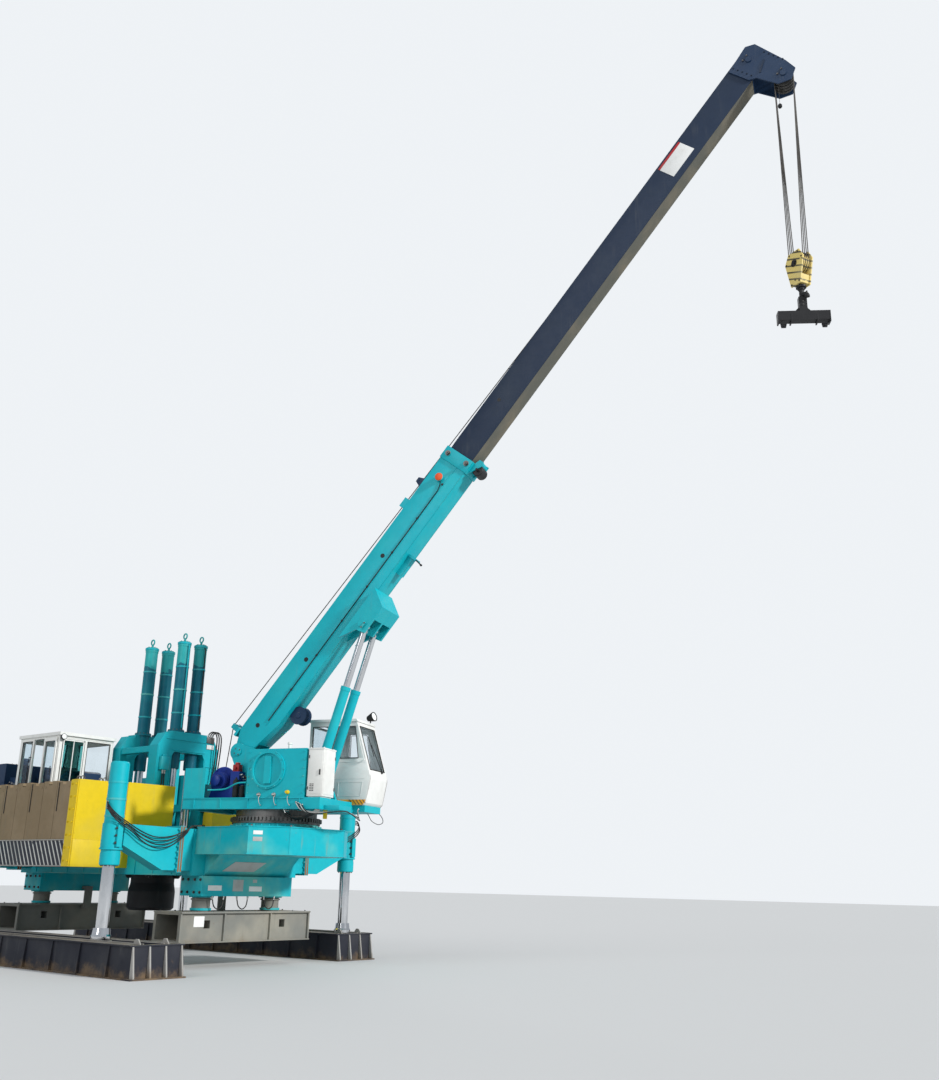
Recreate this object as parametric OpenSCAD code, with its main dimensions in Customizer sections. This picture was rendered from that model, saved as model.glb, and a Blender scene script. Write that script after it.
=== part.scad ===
// Hydraulic jack-in pile driver that walks on long and short shoes and carries its own slewing crane.
// Origin on the ground at the press axis, +X to the crane end, +Y to the machine's left, +Z up, millimetres.

/* [Legs and long shoes] */
// Press axis to a leg, along the machine
leg_x = 3275; // [2800:3800]
// Centre line to a leg
leg_y = 3500; // [3300:4000]
// Long shoe length
shoe_l = 11400; // [11000:12500]
// Long shoe width
shoe_w = 1175; // [1000:1400]
// Long shoe height
shoe_h = 630; // [560:700]
// Plate thickness of the long shoes
shoe_wall = 30; // [15:45]
// Slot in the top of a long shoe
shoe_slot = 460; // [440:560]
// Spacing of the outer ribs of a long shoe
rib_pitch = 1000; // [700:1500]
// How far the right long shoe is walked forward
right_shift = -480; // [-1500:1000]
// How far the left long shoe is walked forward
left_shift = -1980; // [-1990:0]
// Leg cylinder outside diameter
leg_barrel_d = 400; // [340:430]
// Leg rod diameter
leg_rod_d = 260; // [200:280]
// Top of the leg cylinders
leg_top_z = 4237; // [4100:4500]
// Lower end of the leg glands
leg_gland_z = 2102; // [2050:2200]
// Running clearance of rods in their glands
rod_gap = 0.5; // [0.3:0.1:1.5]
// Seat gap under a part that slides
slide_gap = 0.5; // [0.3:0.1:0.9]
// Trolley length inside a long shoe
trolley_l = 760; // [600:780]

/* [Platform] */
// Underside of the platform
plat_z0 = 1930; // [1850:1990]
// Top of the platform
plat_z1 = 2930; // [2800:2950]
// Platform half width
plat_hw = 1550; // [1500:1700]
// Platform half length between the bevels
plat_hl = 3530; // [3500:3700]
// Square well for the clamp head
well = 1700; // [1680:1900]
// Width of an outrigger arm
arm_w = 400; // [300:460]
// Bolted joint of an arm, from the centre line
arm_joint_y = 1900; // [1800:2100]
// Arm flange plate thickness
flange_t = 60; // [30:80]

/* [Crane pedestal] */
// Press axis to the slewing axis
slew_x = 4450; // [4300:4700]
// Octagon half length forward of the slewing axis
oct_front = 1396; // [1300:1600]
// Octagon half width
oct_hw = 1500; // [1300:1540]
// Half width of the front facet
oct_facet = 825; // [600:1000]
// Underside and top of the octagon
oct_z0 = 2388; // [2300:2450]
oct_z1 = 2978; // [2950:3050]
// Slewing ring outside diameter
ring_d = 2000; // [1800:2300]

/* [Short shoes] */
// Short shoe length across the machine
short_l = 3790; // [3400:4200]
// Short shoe width
short_w = 1000; // [900:1100]
// Top of the short shoes
short_z1 = 1170; // [1100:1200]
// Short shoe height
short_h = 640; // [520:700]
// Distance of the support drums from the centre line
drum_y = 1020; // [800:1300]
// Support drum diameter
drum_d = 430; // [350:480]

/* [Press] */
// Press cylinder spacing along and across
press_x = 700; // [690:760]
press_y = 264; // [220:300]
// Press cylinder outside diameter
press_d = 320; // [280:340]
// Press rod diameter
press_rod_d = 220; // [160:240]
// Top and lower end of the press cylinders
press_z1 = 7766; // [7400:8200]
press_z0 = 4500; // [4400:4800]
// Portal half width
portal_hw = 940; // [880:1000]
// Portal inner half width between its legs
portal_in = 500; // [480:600]
// Portal thickness along the machine
portal_t = 350; // [340:420]
// Top of the portals
portal_z = 5350; // [5200:5500]
// Clamp head diameter
head_d = 1140; // [1000:1160]
// Pile passage through the clamp head
pile_d = 620; // [400:700]
// Lower and upper end of the clamp head
head_z0 = 1100; // [1000:1300]
head_z1 = 2300; // [2200:2400]

/* [Ballast] */
// Outer face of the ballast racks from the centre line
rack_y = 3050; // [2950:3100]
// Rear and front end of the racks
rack_x0 = -2750; // [-2800:-2400]
rack_x1 = 1080; // [900:1300]
// Number of ballast slabs on a side
slab_n = 6; // [4:9]
// Slab thickness across the machine
slab_t = 400; // [200:430]
// Top of the slabs
slab_z = 4000; // [3700:4200]

/* [Crane] */
// Slew angle as it stands
slew = 18.85; // [-45:45]
// Boom angle above the horizontal as it stands
luff = 52.34; // [30:70]
// Boom foot pin behind the slewing axis, and its height
pin_back = 945; // [900:1000]
pin_z = 4723; // [4650:4850]
// Deck length to the rear and to the front of the slewing axis
deck_rear = 1900; // [1800:2000]
deck_front = 1600; // [1500:1700]
// Deck half width, underside and top
deck_hw = 1000; // [950:1050]
deck_z0 = 3370; // [3340:3400]
deck_z1 = 3620; // [3580:3660]
// Side plate height above the deck
side_h = 1070; // [900:1150]

/* [Boom] */
// Length of the base section from its foot pin
base_l = 8755; // [8000:9500]
// Base section half width, top and underside about the pin line
base_hw = 300; // [290:340]
base_t1 = 350; // [330:380]
base_t0 = -420; // [-450:-400]
// Plate thickness of the boom
boom_wall = 20; // [12:25]
// Inner section half width, top and underside
inner_hw = 255; // [230:262]
inner_t1 = 305; // [290:312]
inner_t0 = -372; // [-380:-350]
// Inner section, rear end and head end along the boom
inner_s0 = 7200; // [6900:7400]
inner_s1 = 20230; // [18000:20500]
// Head sheave axis, along the boom and below its pin line
tip_s = 20650; // [20600:20700]
tip_t = -950; // [-1000:-900]
// Head sheave diameter in the groove
sheave_d = 415; // [380:430]
// Hoist rope diameter
rope_d = 22; // [16:24]
// Drop from the head sheaves to the hook block
fall = 4780; // [3000:6000]
// Turn of the hook block about the falls
block_turn = 45; // [0:90]

/* [Luffing cylinders] */
// Luff cylinder foot, forward of the slewing axis, and its height
luff_x = 1030; // [1000:1060]
luff_z = 3780; // [3770:3820]
// Luff rod eye along the boom and below its pin line
eye_s = 4150; // [4100:4200]
eye_t = -700; // [-720:-690]
// Luff cylinder half spacing, barrel and rod diameter, barrel length
luff_y = 265; // [255:280]
luff_d = 220; // [190:235]
luff_rod_d = 150; // [120:160]
luff_l = 2480; // [2400:2520]

/* [Cabs] */
// Crane cab width, and its inner side from the crane's centre line
cab_w = 1000; // [950:1050]
cab_y = 620; // [600:660]
// Crane cab roof and floor
cab_z1 = 5530; // [5450:5600]
cab_z0 = 3560; // [3540:3580]
// Cab wall thickness
cab_t = 45; // [30:60]
// Operator cab length, width, floor and roof
op_l = 1800; // [1600:1900]
op_w = 1520; // [1400:1540]
op_z0 = 3400; // [3300:3500]
op_z1 = 5250; // [5100:5400]

/* [Hidden] */
$fn = 64;
teal = [0.02, 0.66, 0.66];
navy = [0.05, 0.12, 0.30];
graphite = [0.10, 0.11, 0.13];
chrome = [0.80, 0.82, 0.84];
white = [0.90, 0.90, 0.88];
yellow = [0.95, 0.80, 0.05];
slab_c = [0.52, 0.43, 0.32];
steel = [0.35, 0.35, 0.36];
glass = [0.55, 0.70, 0.78];
// lean and length of the luff cylinders between their pins
eye_x = -pin_back + eye_s * cos(luff) - eye_t * sin(luff);
eye_z = pin_z + eye_s * sin(luff) + eye_t * cos(luff);
luff_pitch = atan2(eye_z - luff_z, eye_x - luff_x);
luff_span = norm([eye_x - luff_x, eye_z - luff_z]);
// outer luff lugs of the boom, from the centre plane
lug_y = 1.76 * luff_y;
// portals, between their inner and outer faces
portal_x0 = press_x - portal_t / 2 + 75;
portal_x1 = portal_x0 + portal_t;
op_x1 = -800;
op_y0 = 1050;
side = [1, -1];
// pin of the crane cab's door hinges off the wall, and the hinges' lower ends
hinge_out = 15;
hinge_z = [cab_z0 + 260, cab_z1 - 420];
groove_r = sheave_d / 2;
fall_r = groove_r + rope_d / 2 + 0.5;

// Sub-part shown, or all

// ---- helpers ----
module bx(x0, x1, y0, y1, z0, z1) {
  translate([x0, y0, z0]) cube([x1 - x0, y1 - y0, z1 - z0]);
}
// plate drawn in the X-Z plane, from y0 to y1
module xz(y0, y1) {
  translate([0, y1, 0]) rotate([90, 0, 0]) linear_extrude(y1 - y0) children();
}
// plate drawn in the Y-Z plane, from x0 to x1
module yz(x0, x1) {
  translate([x0, 0, 0]) rotate([90, 0, 90]) linear_extrude(x1 - x0) children();
}
// both sides of the centre line
module sides() {
  children();
  mirror([0, 1, 0]) children();
}
// both ends of the machine
module ends() {
  children();
  mirror([1, 0, 0]) children();
}
// crane frame, its origin on the slewing axis at ground level, x toward the boom tip
module crane() {
  translate([slew_x, 0, 0]) rotate([0, 0, slew]) children();
}
// boom frame, its origin at the foot pin, x along the boom
module boom() {
  crane() translate([-pin_back, 0, pin_z]) rotate([0, -luff, 0]) children();
}
// luff cylinder frame, its origin at the foot pin, x toward the rod eye
module luff_frame() {
  crane() translate([luff_x, 0, luff_z]) rotate([0, -luff_pitch, 0]) children();
}
// hook frame, its origin at the head sheave axis, z up
module hook_frame() {
  crane() translate([-pin_back + tip_s * cos(luff) - tip_t * sin(luff), 0,
    pin_z + tip_s * sin(luff) + tip_t * cos(luff)]) children();
}
// round bar along y, centred on the centre plane
module pin_y(d, w) {
  rotate([90, 0, 0]) cylinder(d = d, h = w, center = true);
}
module eye_bolt(d) {
  cylinder(d = d * 0.3, h = d * 0.5);
  translate([0, 0, d * 0.8]) rotate([90, 0, 0]) rotate_extrude() translate([d * 0.36, 0]) circle(d = d * 0.2, $fn = 24);
}

// ---- platform and legs ----
module platform() color(teal) {
  difference() {
    union() {
      bx(-plat_hl, plat_hl, -plat_hw, plat_hw, plat_z0, plat_z1);
      ends() sides() {
        bx(leg_x - arm_w / 2, leg_x + arm_w / 2, plat_hw, arm_joint_y - flange_t, plat_z0 + 100, plat_z1);
        bx(leg_x - arm_w / 2 - 60, leg_x + arm_w / 2 + 60, arm_joint_y - flange_t, arm_joint_y, plat_z0 + 60, plat_z1 + 45);
      }
      // rear deck with a bevelled underside
      xz(-plat_hw + 50, plat_hw - 50)
        polygon([[-plat_hl, plat_z0], [-plat_hl - 460, oct_z0], [-plat_hl - 1100, oct_z0],
                 [-plat_hl - 1100, plat_z1], [-plat_hl, plat_z1]]);
    }
    translate([-well / 2, -well / 2, plat_z0 - 10]) cube([well, well, plat_z1 - plat_z0 + 20]);
    // open bays between the cross beams, seen from below
    for (x = [-2500, 1200]) translate([x, -plat_hw + 250, plat_z0 - 10]) cube([1300, 2 * plat_hw - 500, 700]);
  }
}

module octagon_2d(g) {
  polygon([[plat_hl, -oct_hw - g], [slew_x + 826, -oct_hw - g], [slew_x + oct_front + g, -oct_facet],
           [slew_x + oct_front + g, oct_facet], [slew_x + 826, oct_hw + g], [plat_hl, oct_hw + g]]);
}
module pedestal() color(teal) {
  translate([0, 0, oct_z0]) linear_extrude(oct_z1 - oct_z0) octagon_2d(0);
  translate([0, 0, oct_z0]) linear_extrude(20) octagon_2d(18);
  translate([0, 0, oct_z1 - 20]) linear_extrude(20) octagon_2d(18);
  // bevelled bracket under it
  xz(-1200, 1200) polygon([[plat_hl, plat_z0], [plat_hl + 490, oct_z0], [plat_hl, oct_z0]]);
  // fixed race of the slewing ring, with its bolts
  translate([slew_x, 0, oct_z1]) {
    difference() {
      union() {
        cylinder(d = ring_d + 130, h = 40);
        cylinder(d = ring_d - 60, h = 100);
      }
      translate([0, 0, -1]) cylinder(d = ring_d - 500, h = 102);
    }
    for (i = [0:35]) rotate(i * 10) translate([ring_d / 2 + 20, 0, 40]) cylinder(d = 45, h = 32, $fn = 6);
  }
}

module arm() {
  difference() {
    union() {
      yz(leg_x - arm_w / 2, leg_x + arm_w / 2)
        polygon([[arm_joint_y, plat_z0 + 100], [2310, plat_z0 + 100], [leg_y - 150, leg_gland_z + 410],
                 [leg_y - 150, plat_z1 + 20], [arm_joint_y, plat_z1]]);
      bx(leg_x - arm_w / 2 - 60, leg_x + arm_w / 2 + 60, arm_joint_y, arm_joint_y + flange_t, plat_z0 + 60, plat_z1 + 45);
      translate([leg_x, leg_y, leg_gland_z + 348]) cylinder(d = leg_barrel_d + 44, h = plat_z1 + 20 - leg_gland_z - 348);
      // bolted clamp lugs
      for (x = [-1, 1]) translate([leg_x + x * (leg_barrel_d / 2 + 35), leg_y, 0])
        bx(-45, 45, -60, 60, leg_gland_z + 368, plat_z1);
    }
    translate([leg_x, leg_y, leg_gland_z]) cylinder(d = leg_barrel_d + 0.6, h = 2000);
  }
}
module front_arms() color(teal) sides() arm();
module rear_arms() color(teal) mirror([1, 0, 0]) sides() arm();

module leg_barrel() translate([leg_x, leg_y, 0]) {
  r = leg_barrel_d / 2;
  rr = leg_rod_d / 2;
  rotate_extrude() polygon([
    [rr + rod_gap, leg_gland_z], [r - 5, leg_gland_z], [r + 8, leg_gland_z + 20], [r + 8, leg_gland_z + 250],
    [r, leg_gland_z + 256], [r, leg_gland_z + 312], [r + 40, leg_gland_z + 312], [r + 40, leg_gland_z + 348],
    [r, leg_gland_z + 348], [r, leg_top_z - 30], [r - 25, leg_top_z], [0, leg_top_z], [0, leg_top_z - 70],
    [rr + 20, leg_top_z - 70], [rr + 20, leg_gland_z + 260], [rr + rod_gap, leg_gland_z + 260]]);
  // hose port block
  translate([-r - 30, -60, leg_top_z - 420]) cube([60, 120, 150]);
}
module front_leg_barrels() color(teal) sides() leg_barrel();
module rear_leg_barrels() color(teal) mirror([1, 0, 0]) sides() leg_barrel();

// rod with its ball foot, and the trolley that runs inside the long shoe
module jack(x) translate([x, leg_y, 0]) {
  rr = leg_rod_d / 2;
  rotate_extrude() polygon([
    [0, 560], [210, 560], [210, 700], [185, 740], [170, 861], [rr, 861], [rr, 3100], [rr - 10, 3110], [0, 3110]]);
  difference() {
    bx(-trolley_l / 2, trolley_l / 2, -440, 440, shoe_wall + slide_gap, 560);
    for (s = side) translate([0, s * 440, 230]) bx(-250, 250, -60, 60, -120, 120);
  }
}
module jacks() {
  for (s = side) jack(s * leg_x);
}
module right_jacks() color(chrome) mirror([0, 1, 0]) jacks();
module left_jacks() color(chrome) jacks();

module long_shoe(shift) translate([shift, leg_y, 0]) {
  hl = shoe_l / 2;
  hw = shoe_w / 2;
  difference() {
    // channel whose bottom edge is chamfered at both ends
    xz(-hw, hw) polygon([[-hl + 24, 0], [hl - 24, 0], [hl, 24], [hl, shoe_h], [-hl, shoe_h], [-hl, 24]]);
    bx(-hl + shoe_wall, hl - shoe_wall, -hw + shoe_wall, hw - shoe_wall, shoe_wall, shoe_h - shoe_wall);
    bx(-hl + 120, hl - 120, -shoe_slot / 2, shoe_slot / 2, shoe_h - shoe_wall - 1, shoe_h + 1);
  }
  // outer ribs, wider at their foot
  n = floor((shoe_l - 900) / rib_pitch);
  for (i = [0:n], s = side) translate([(i - n / 2) * rib_pitch, s * hw, 0]) rotate([0, 0, s > 0 ? 0 : 180])
    yz(-15, 15) polygon([[0, 12], [70, 12], [70, 40], [30, shoe_h - 60], [30, shoe_h - 12], [0, shoe_h - 12]]);
}
module right_long_shoe() color(graphite) mirror([0, 1, 0]) long_shoe(right_shift);
module left_long_shoe() color(graphite) long_shoe(left_shift);

// ---- short shoes under the platform ----
carrier_z0 = 1500;
module carrier() {
  // carrier beam with its bolted end boxes
  bx(leg_x - 380, leg_x + 380, -1330, 1330, carrier_z0, plat_z0);
  for (s = side) {
    // drum that stands on the short shoe
    translate([leg_x, s * drum_y, short_z1 + slide_gap]) cylinder(d = drum_d, h = carrier_z0 - short_z1 - slide_gap);
    // hanger that hooks under a flange of the short shoe
    translate([leg_x, 0, 0]) mirror([s > 0 ? 0 : 1, 0, 0]) {
      bx(short_w / 2 + 8, short_w / 2 + 48, -110, 110, short_z1 - 110, carrier_z0 + 120);
      bx(340, short_w / 2 + 8, -110, 110, carrier_z0 + 40, carrier_z0 + 120);
      bx(short_w / 2 - 60, short_w / 2 + 8, -110, 110, short_z1 - 110, short_z1 - 30 - slide_gap);
    }
  }
}
module shoe_carriers() color(teal) ends() carrier();

module short_shoe() translate([leg_x, 0, short_z1 - short_h]) {
  hl = short_l / 2;
  hw = short_w / 2;
  h = short_h;
  difference() {
    union() {
      bx(-hw + 80, hw - 80, -hl, hl, 0, h - 30);
      bx(-hw, hw, -hl, hl, h - 30, h);
      bx(-hw, hw, -hl, hl, 0, 25);
      // gussets along both webs
      for (y = [-1, -0.36, 0.36, 1], s = side) translate([0, y * (hl - 20), 0])
        bx(s > 0 ? hw - 80 : -hw + 25, s > 0 ? hw - 25 : -hw + 80, -20, 20, 25, h - 30);
    }
    // open box ends
    for (s = side) translate([0, s * (hl - 300), 0]) bx(-hw + 110, hw - 110, -301, 301, 55, h - 60);
    // square ports through the webs
    for (y = [-0.60, 0.56]) translate([0, y * hl, h - 260]) bx(-hw + 70, hw - 70, -85, 85, -85, 85);
  }
}
module front_short_shoe() color(steel) short_shoe();
module rear_short_shoe() color(steel) mirror([1, 0, 0]) short_shoe();

// ---- press ----
module portal_2d() {
  c = 200;
  difference() {
    polygon([[-portal_hw, plat_z1], [portal_hw, plat_z1], [portal_hw, portal_z - 320], [portal_hw - c, portal_z],
             [-portal_hw + c, portal_z], [-portal_hw, portal_z - 320]]);
    polygon([[-portal_in, plat_z1 - 1], [portal_in, plat_z1 - 1], [portal_in, portal_z - 560],
             [portal_in - 60, portal_z - 450], [-portal_in + 60, portal_z - 450], [-portal_in, portal_z - 560]]);
  }
}
module press_frame() color(teal) {
  difference() {
    union() {
      ends() yz(portal_x0, portal_x1) portal_2d();
      // side ties between the portals
      for (s = side) translate([0, s * (portal_hw - 110), 0]) {
        bx(-portal_x0, portal_x0, -90, 90, portal_z - 480, portal_z - 330);
        bx(-portal_x0, portal_x0, -90, 90, plat_z1 + 600, plat_z1 + 780);
      }
      // flanges that the press cylinders bolt to
      ends() bx(portal_x0 + 10, portal_x1 - 10, -portal_in - 40, portal_in + 40, portal_z, portal_z + 60);
      // base plates
      ends() for (s = side) translate([0, s * (portal_hw + portal_in) / 2, 0])
        bx(portal_x0 - 20, portal_x1 + 40, -(portal_hw - portal_in) / 2 - 40, (portal_hw - portal_in) / 2 + 40, plat_z1, plat_z1 + 40);
    }
    for (x = side, y = side) translate([x * press_x, y * press_y, plat_z1]) cylinder(d = press_d + 0.6, h = 3000);
  }
}
module press_barrel() {
  r = press_d / 2;
  rr = press_rod_d / 2;
  rotate_extrude() polygon([
    [rr + rod_gap, press_z0], [r - 10, press_z0], [r, press_z0 + 20], [r, portal_z + 60], [r + 50, portal_z + 60],
    [r + 50, portal_z + 110], [r, portal_z + 110], [r, press_z1 - 140], [r + 8, press_z1 - 130], [r + 8, press_z1 - 15],
    [r - 12, press_z1], [0, press_z1], [0, press_z1 - 60], [rr + 12, press_z1 - 60], [rr + 12, press_z0 + 200],
    [rr + rod_gap, press_z0 + 200]]);
  translate([0, 0, press_z1]) eye_bolt(190);
}
module press_barrels() color(teal) {
  for (x = side, y = side) translate([x * press_x, y * press_y, 0]) press_barrel();
}
module clamp_head() color(graphite) difference() {
  union() {
    // rounded shoulder over the jaw housing
    rotate_extrude() polygon([
      [0, head_z0 + (pile_d / 2 + 80) * 1.1125], [pile_d / 2 + 80, head_z0], [head_d / 2 - 60, head_z0], [head_d / 2, head_z0 + 60], [head_d / 2, head_z1 - 760],
      [head_d / 2 - 40, head_z1 - 560], [head_d / 2 - 40, head_z1], [0, head_z1]]);
    bx(-press_x - 110, press_x + 110, -420, 420, head_z1, head_z1 + 260);
    // jaw cylinders around the housing
    for (a = [45:90:315]) rotate(a) translate([pile_d / 2 + 60, 0, head_z1 - 320]) rotate([0, 90, 0])
      cylinder(d = 260, h = (head_d - pile_d) / 2);
  }
  translate([0, 0, head_z0 - 1]) cylinder(d = pile_d, h = head_z1 - head_z0 + 400);
}
module press_rods() color(chrome) {
  for (x = side, y = side) translate([x * press_x, y * press_y, head_z1 + 260]) {
    cylinder(d = press_rod_d + 60, h = 70);
    cylinder(d = press_rod_d, h = press_z0 + 700 - head_z1 - 260);
  }
}

// ---- ballast ----
module rack() {
  bx(rack_x0, rack_x1, rack_y - 800, rack_y, 2070, 2670);
  for (x = [-2350, -900, 560]) bx(x, x + 300, plat_hw, rack_y - 800, 2150, 2600);
}
module rack_right() color(navy) mirror([0, 1, 0]) rack();
module rack_left() color(navy) rack();
// [x0 of the end block] slabs fill the rack up to it
end_x = rack_x1 - 330;
module slabs() {
  p = (end_x - rack_x0) / slab_n;
  for (i = [0:slab_n - 1]) difference() {
    bx(rack_x0 + i * p + 6, rack_x0 + (i + 1) * p - 6, rack_y - slab_t, rack_y, 2670, slab_z - (i % 2) * 25);
    // lifting notch at the top of each slab
    translate([rack_x0 + (i + 0.5) * p, rack_y - slab_t / 2, slab_z]) bx(-70, 70, -slab_t, slab_t, -90, 1);
  }
}
module slabs_right() color(slab_c) mirror([0, 1, 0]) slabs();
module slabs_left() color(slab_c) slabs();
module yellow_weights() color(yellow) sides() {
  bx(end_x, rack_x1, rack_y - 850, rack_y, 2670, 4010);
  bx(end_x + 20, rack_x1 - 20, rack_y, rack_y + 25, 2075, 3990);
  bx(portal_x1 + 55, portal_x1 + 420, 600, 1940, plat_z1, 4010);
}

// ---- operator cab, power pack and tank ----
module op_frame() translate([op_x1 - op_l, -op_y0 - op_w, 0]) children();
module operator_cab() color(white) {
  t = cab_t;
  op_frame() difference() {
    union() {
      bx(0, op_l, 0, op_w, op_z0, op_z1);
      // roof with an eave
      bx(-40, op_l + 60, -40, op_w + 40, op_z1 - 60, op_z1 + 20);
    }
    bx(t, op_l - t, t, op_w - t, op_z0 + 50, op_z1 - 60);
    // window bands: front, near side with doorway, far side, rear
    bx(op_l - t - 5, op_l + 5, 90, 700, op_z0 + 650, op_z1 - 150);
    bx(op_l - t - 5, op_l + 5, 780, op_w - 90, op_z0 + 650, op_z1 - 150);
    bx(120, 560, -5, t + 5, op_z0 + 600, op_z1 - 150);
    bx(640, 1120, -5, t + 5, op_z0 + 80, op_z1 - 110);
    bx(1200, op_l - 90, -5, t + 5, op_z0 + 600, op_z1 - 150);
    bx(120, op_l - 120, op_w - t - 5, op_w + 5, op_z0 + 600, op_z1 - 150);
    bx(-5, t + 5, 120, op_w - 120, op_z0 + 600, op_z1 - 150);
  }
  // under frame on the platform and the ballast rack, and the sill that the door runs on
  op_frame() {
    bx(560, 1760, -48, 0, op_z0 + 20, op_z0 + 60);
    bx(560, 1760, -48, -42, op_z0 + 60, op_z0 + 90);
    for (x = [100, op_l - 200]) {
      bx(x, x + 100, 0, op_w, op_z0 - 100, op_z0);
      bx(x, x + 100, 20, 120, 2670, op_z0 - 100);
      bx(x, x + 100, op_w - 120, op_w - 20, plat_z1, op_z0 - 100);
    }
  }
}
module operator_glass() color(glass) op_frame() {
  g = 8;
  o = cab_t / 2 - g / 2;
  bx(op_l - o - g, op_l - o, 90, 700, op_z0 + 650, op_z1 - 150);
  bx(120, 560, o, o + g, op_z0 + 600, op_z1 - 150);
  bx(1200, op_l - 90, o, o + g, op_z0 + 600, op_z1 - 150);
  bx(120, op_l - 120, op_w - o - g, op_w - o, op_z0 + 600, op_z1 - 150);
  bx(o, o + g, 120, op_w - 120, op_z0 + 600, op_z1 - 150);
}
// sliding door, standing open in front of the forward side window
module operator_cab_door() color(white) op_frame() difference() {
  bx(1160, 1720, -38, -8, op_z0 + 60 + slide_gap, op_z1 - 110);
  bx(1220, 1660, -41, -7, op_z0 + 620, op_z1 - 190);
}
module power_pack() color(teal) {
  difference() {
    bx(-2700, -300, 1000, 2500, 3060, 4500);
    // louvred bays
    for (i = [0:3], k = [0:8]) bx(-2560 + i * 560, -2120 + i * 560, 2440, 2501, 3300 + k * 110, 3360 + k * 110);
  }
  for (x = [-2600, -600]) {
    bx(x, x + 200, 1050, 1500, plat_z1, 3060);
    bx(x, x + 200, 2300, 2500, 2670, 3060);
  }
  translate([-1900, 1750, 4500]) cylinder(d = 240, h = 200);
}
module fluid_tank() color(navy) {
  bx(-4400, -3560, -2350, -1000, 2982, 4650);
  bx(-3560, -3010, -2200, -1000, 2982, 4300);
  translate([-4000, -1600, 4650]) cylinder(d = 200, h = 110);
  bx(-4400, -3010, -1500, -1000, plat_z1, 2982);
}

// ---- crane ----
module upright_2d() {
  difference() {
    union() {
      polygon([[-620, deck_z1], [900, deck_z1], [900, deck_z1 + 250], [-500, pin_z + 60], [-pin_back, pin_z + 190],
               [-pin_back - 190, pin_z], [-pin_back - 120, pin_z - 190]]);
      translate([-pin_back, pin_z]) circle(r = 200);
    }
    translate([-100, deck_z1 + 420]) circle(r = 130);
  }
}
module crane_deck() color(teal) crane() {
  // deck with side beams
  difference() {
    bx(-deck_rear, deck_front, -deck_hw, deck_hw, deck_z0, deck_z1);
    bx(-deck_rear + 200, -700, -deck_hw + 160, deck_hw - 160, deck_z0 - 1, deck_z1 - 40);
    // seat of the crane cab
    bx(520, deck_front + 1, cab_y - 20, deck_hw + 1, cab_z0, deck_z1 + 1);
  }
  // boom foot uprights
  for (s = side) translate([0, s * (base_hw + 45), 0]) xz(-30, 30) upright_2d();
  // foot pin, carried in the uprights
  translate([-pin_back, 0, pin_z]) pin_y(140, 2 * base_hw + 180);
  // right side plate and its round cover
  difference() {
    bx(-270, 1210, -deck_hw, -deck_hw + 40, deck_z1, deck_z1 + side_h);
    translate([270, -deck_hw + 41, deck_z1 + 610]) rotate([90, 0, 0]) cylinder(d = 700, h = 42);
  }
  translate([270, -deck_hw + 30, deck_z1 + 610]) rotate([90, 0, 0]) difference() {
    union() {
      cylinder(d = 860, h = 75);
      cylinder(d = 800, h = 95);
    }
    translate([0, 0, 40]) cylinder(d = 720, h = 100);
  }
  bx(190, 350, -deck_hw - 60, -deck_hw + 20, deck_z1 + 300, deck_z1 + 900);
  bx(-270, 1210, -deck_hw + 40, -deck_hw + 400, deck_z1 + side_h - 30, deck_z1 + side_h);
  bx(-270, -230, -deck_hw + 40, -base_hw - 75, deck_z1, deck_z1 + side_h - 30);
  bx(1170, 1210, -deck_hw + 40, -base_hw - 165, deck_z1, deck_z1 + side_h - 30);
  // rear guard plate
  bx(-1900, -1360, -deck_hw, -deck_hw + 30, deck_z1, 4290);
  bx(-1900, -1870, -deck_hw + 30, deck_hw - 400, deck_z1, 4000);
  // luff cylinder foot brackets and their pin
  for (y = [-1, 0, 1]) translate([0, y * 2 * luff_y, 0]) xz(-45, 45)
    polygon([[luff_x - 200, deck_z1], [luff_x + 220, deck_z1], [luff_x + 110, luff_z + 110], [luff_x - 110, luff_z + 110]]);
  translate([luff_x, 0, luff_z]) pin_y(100, 4 * luff_y + 120);
  // cab carrier at the left front
  bx(500, deck_front + 300, deck_hw, cab_y + cab_w - 60, deck_z0 + 40, cab_z0);
  bx(deck_front, deck_front + 300, cab_y + 60, deck_hw, deck_z0 + 40, cab_z0);
}
module slewing_ring() color(steel) crane() translate([0, 0, oct_z1]) {
  // turning race with outer teeth
  difference() {
    translate([0, 0, 100 + slide_gap]) cylinder(d = ring_d, h = 146 - slide_gap);
    translate([0, 0, 90]) cylinder(d = ring_d - 420, h = 200);
  }
  for (i = [0:71]) rotate(i * 5) translate([ring_d / 2 - 8, 0, 150]) bx(0, 48, -24, 24, 0, 80);
  difference() {
    translate([0, 0, 246]) cylinder(d = ring_d - 160, h = deck_z0 - oct_z1 - 246);
    translate([0, 0, 240]) cylinder(d = ring_d - 420, h = 400);
  }
}
module winch() color(navy) crane() translate([-1250, 0, deck_z1]) {
  // drum between its side frames, with motor and gearbox
  translate([0, 0, 420]) {
    pin_y(420, 760);
    for (s = side) translate([0, s * 400, 0]) pin_y(640, 40);
    translate([0, -520, 0]) pin_y(380, 200);
    translate([0, -680, 0]) pin_y(240, 120);
    translate([0, 500, 0]) pin_y(300, 160);
  }
  for (s = side) translate([0, s * 450, 0]) xz(-30, 30) polygon([[-330, 0], [330, 0], [140, 520], [-140, 520]]);
  bx(330, 560, -640, -390, 0, 620);
}
module cabinets() color(white) crane() {
  bx(1216, 1600, -deck_hw, -600, deck_z1, deck_z1 + 1050);
  bx(1600, 2010, -deck_hw, -600, deck_z1 + 20, deck_z1 + 1000);
}
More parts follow.
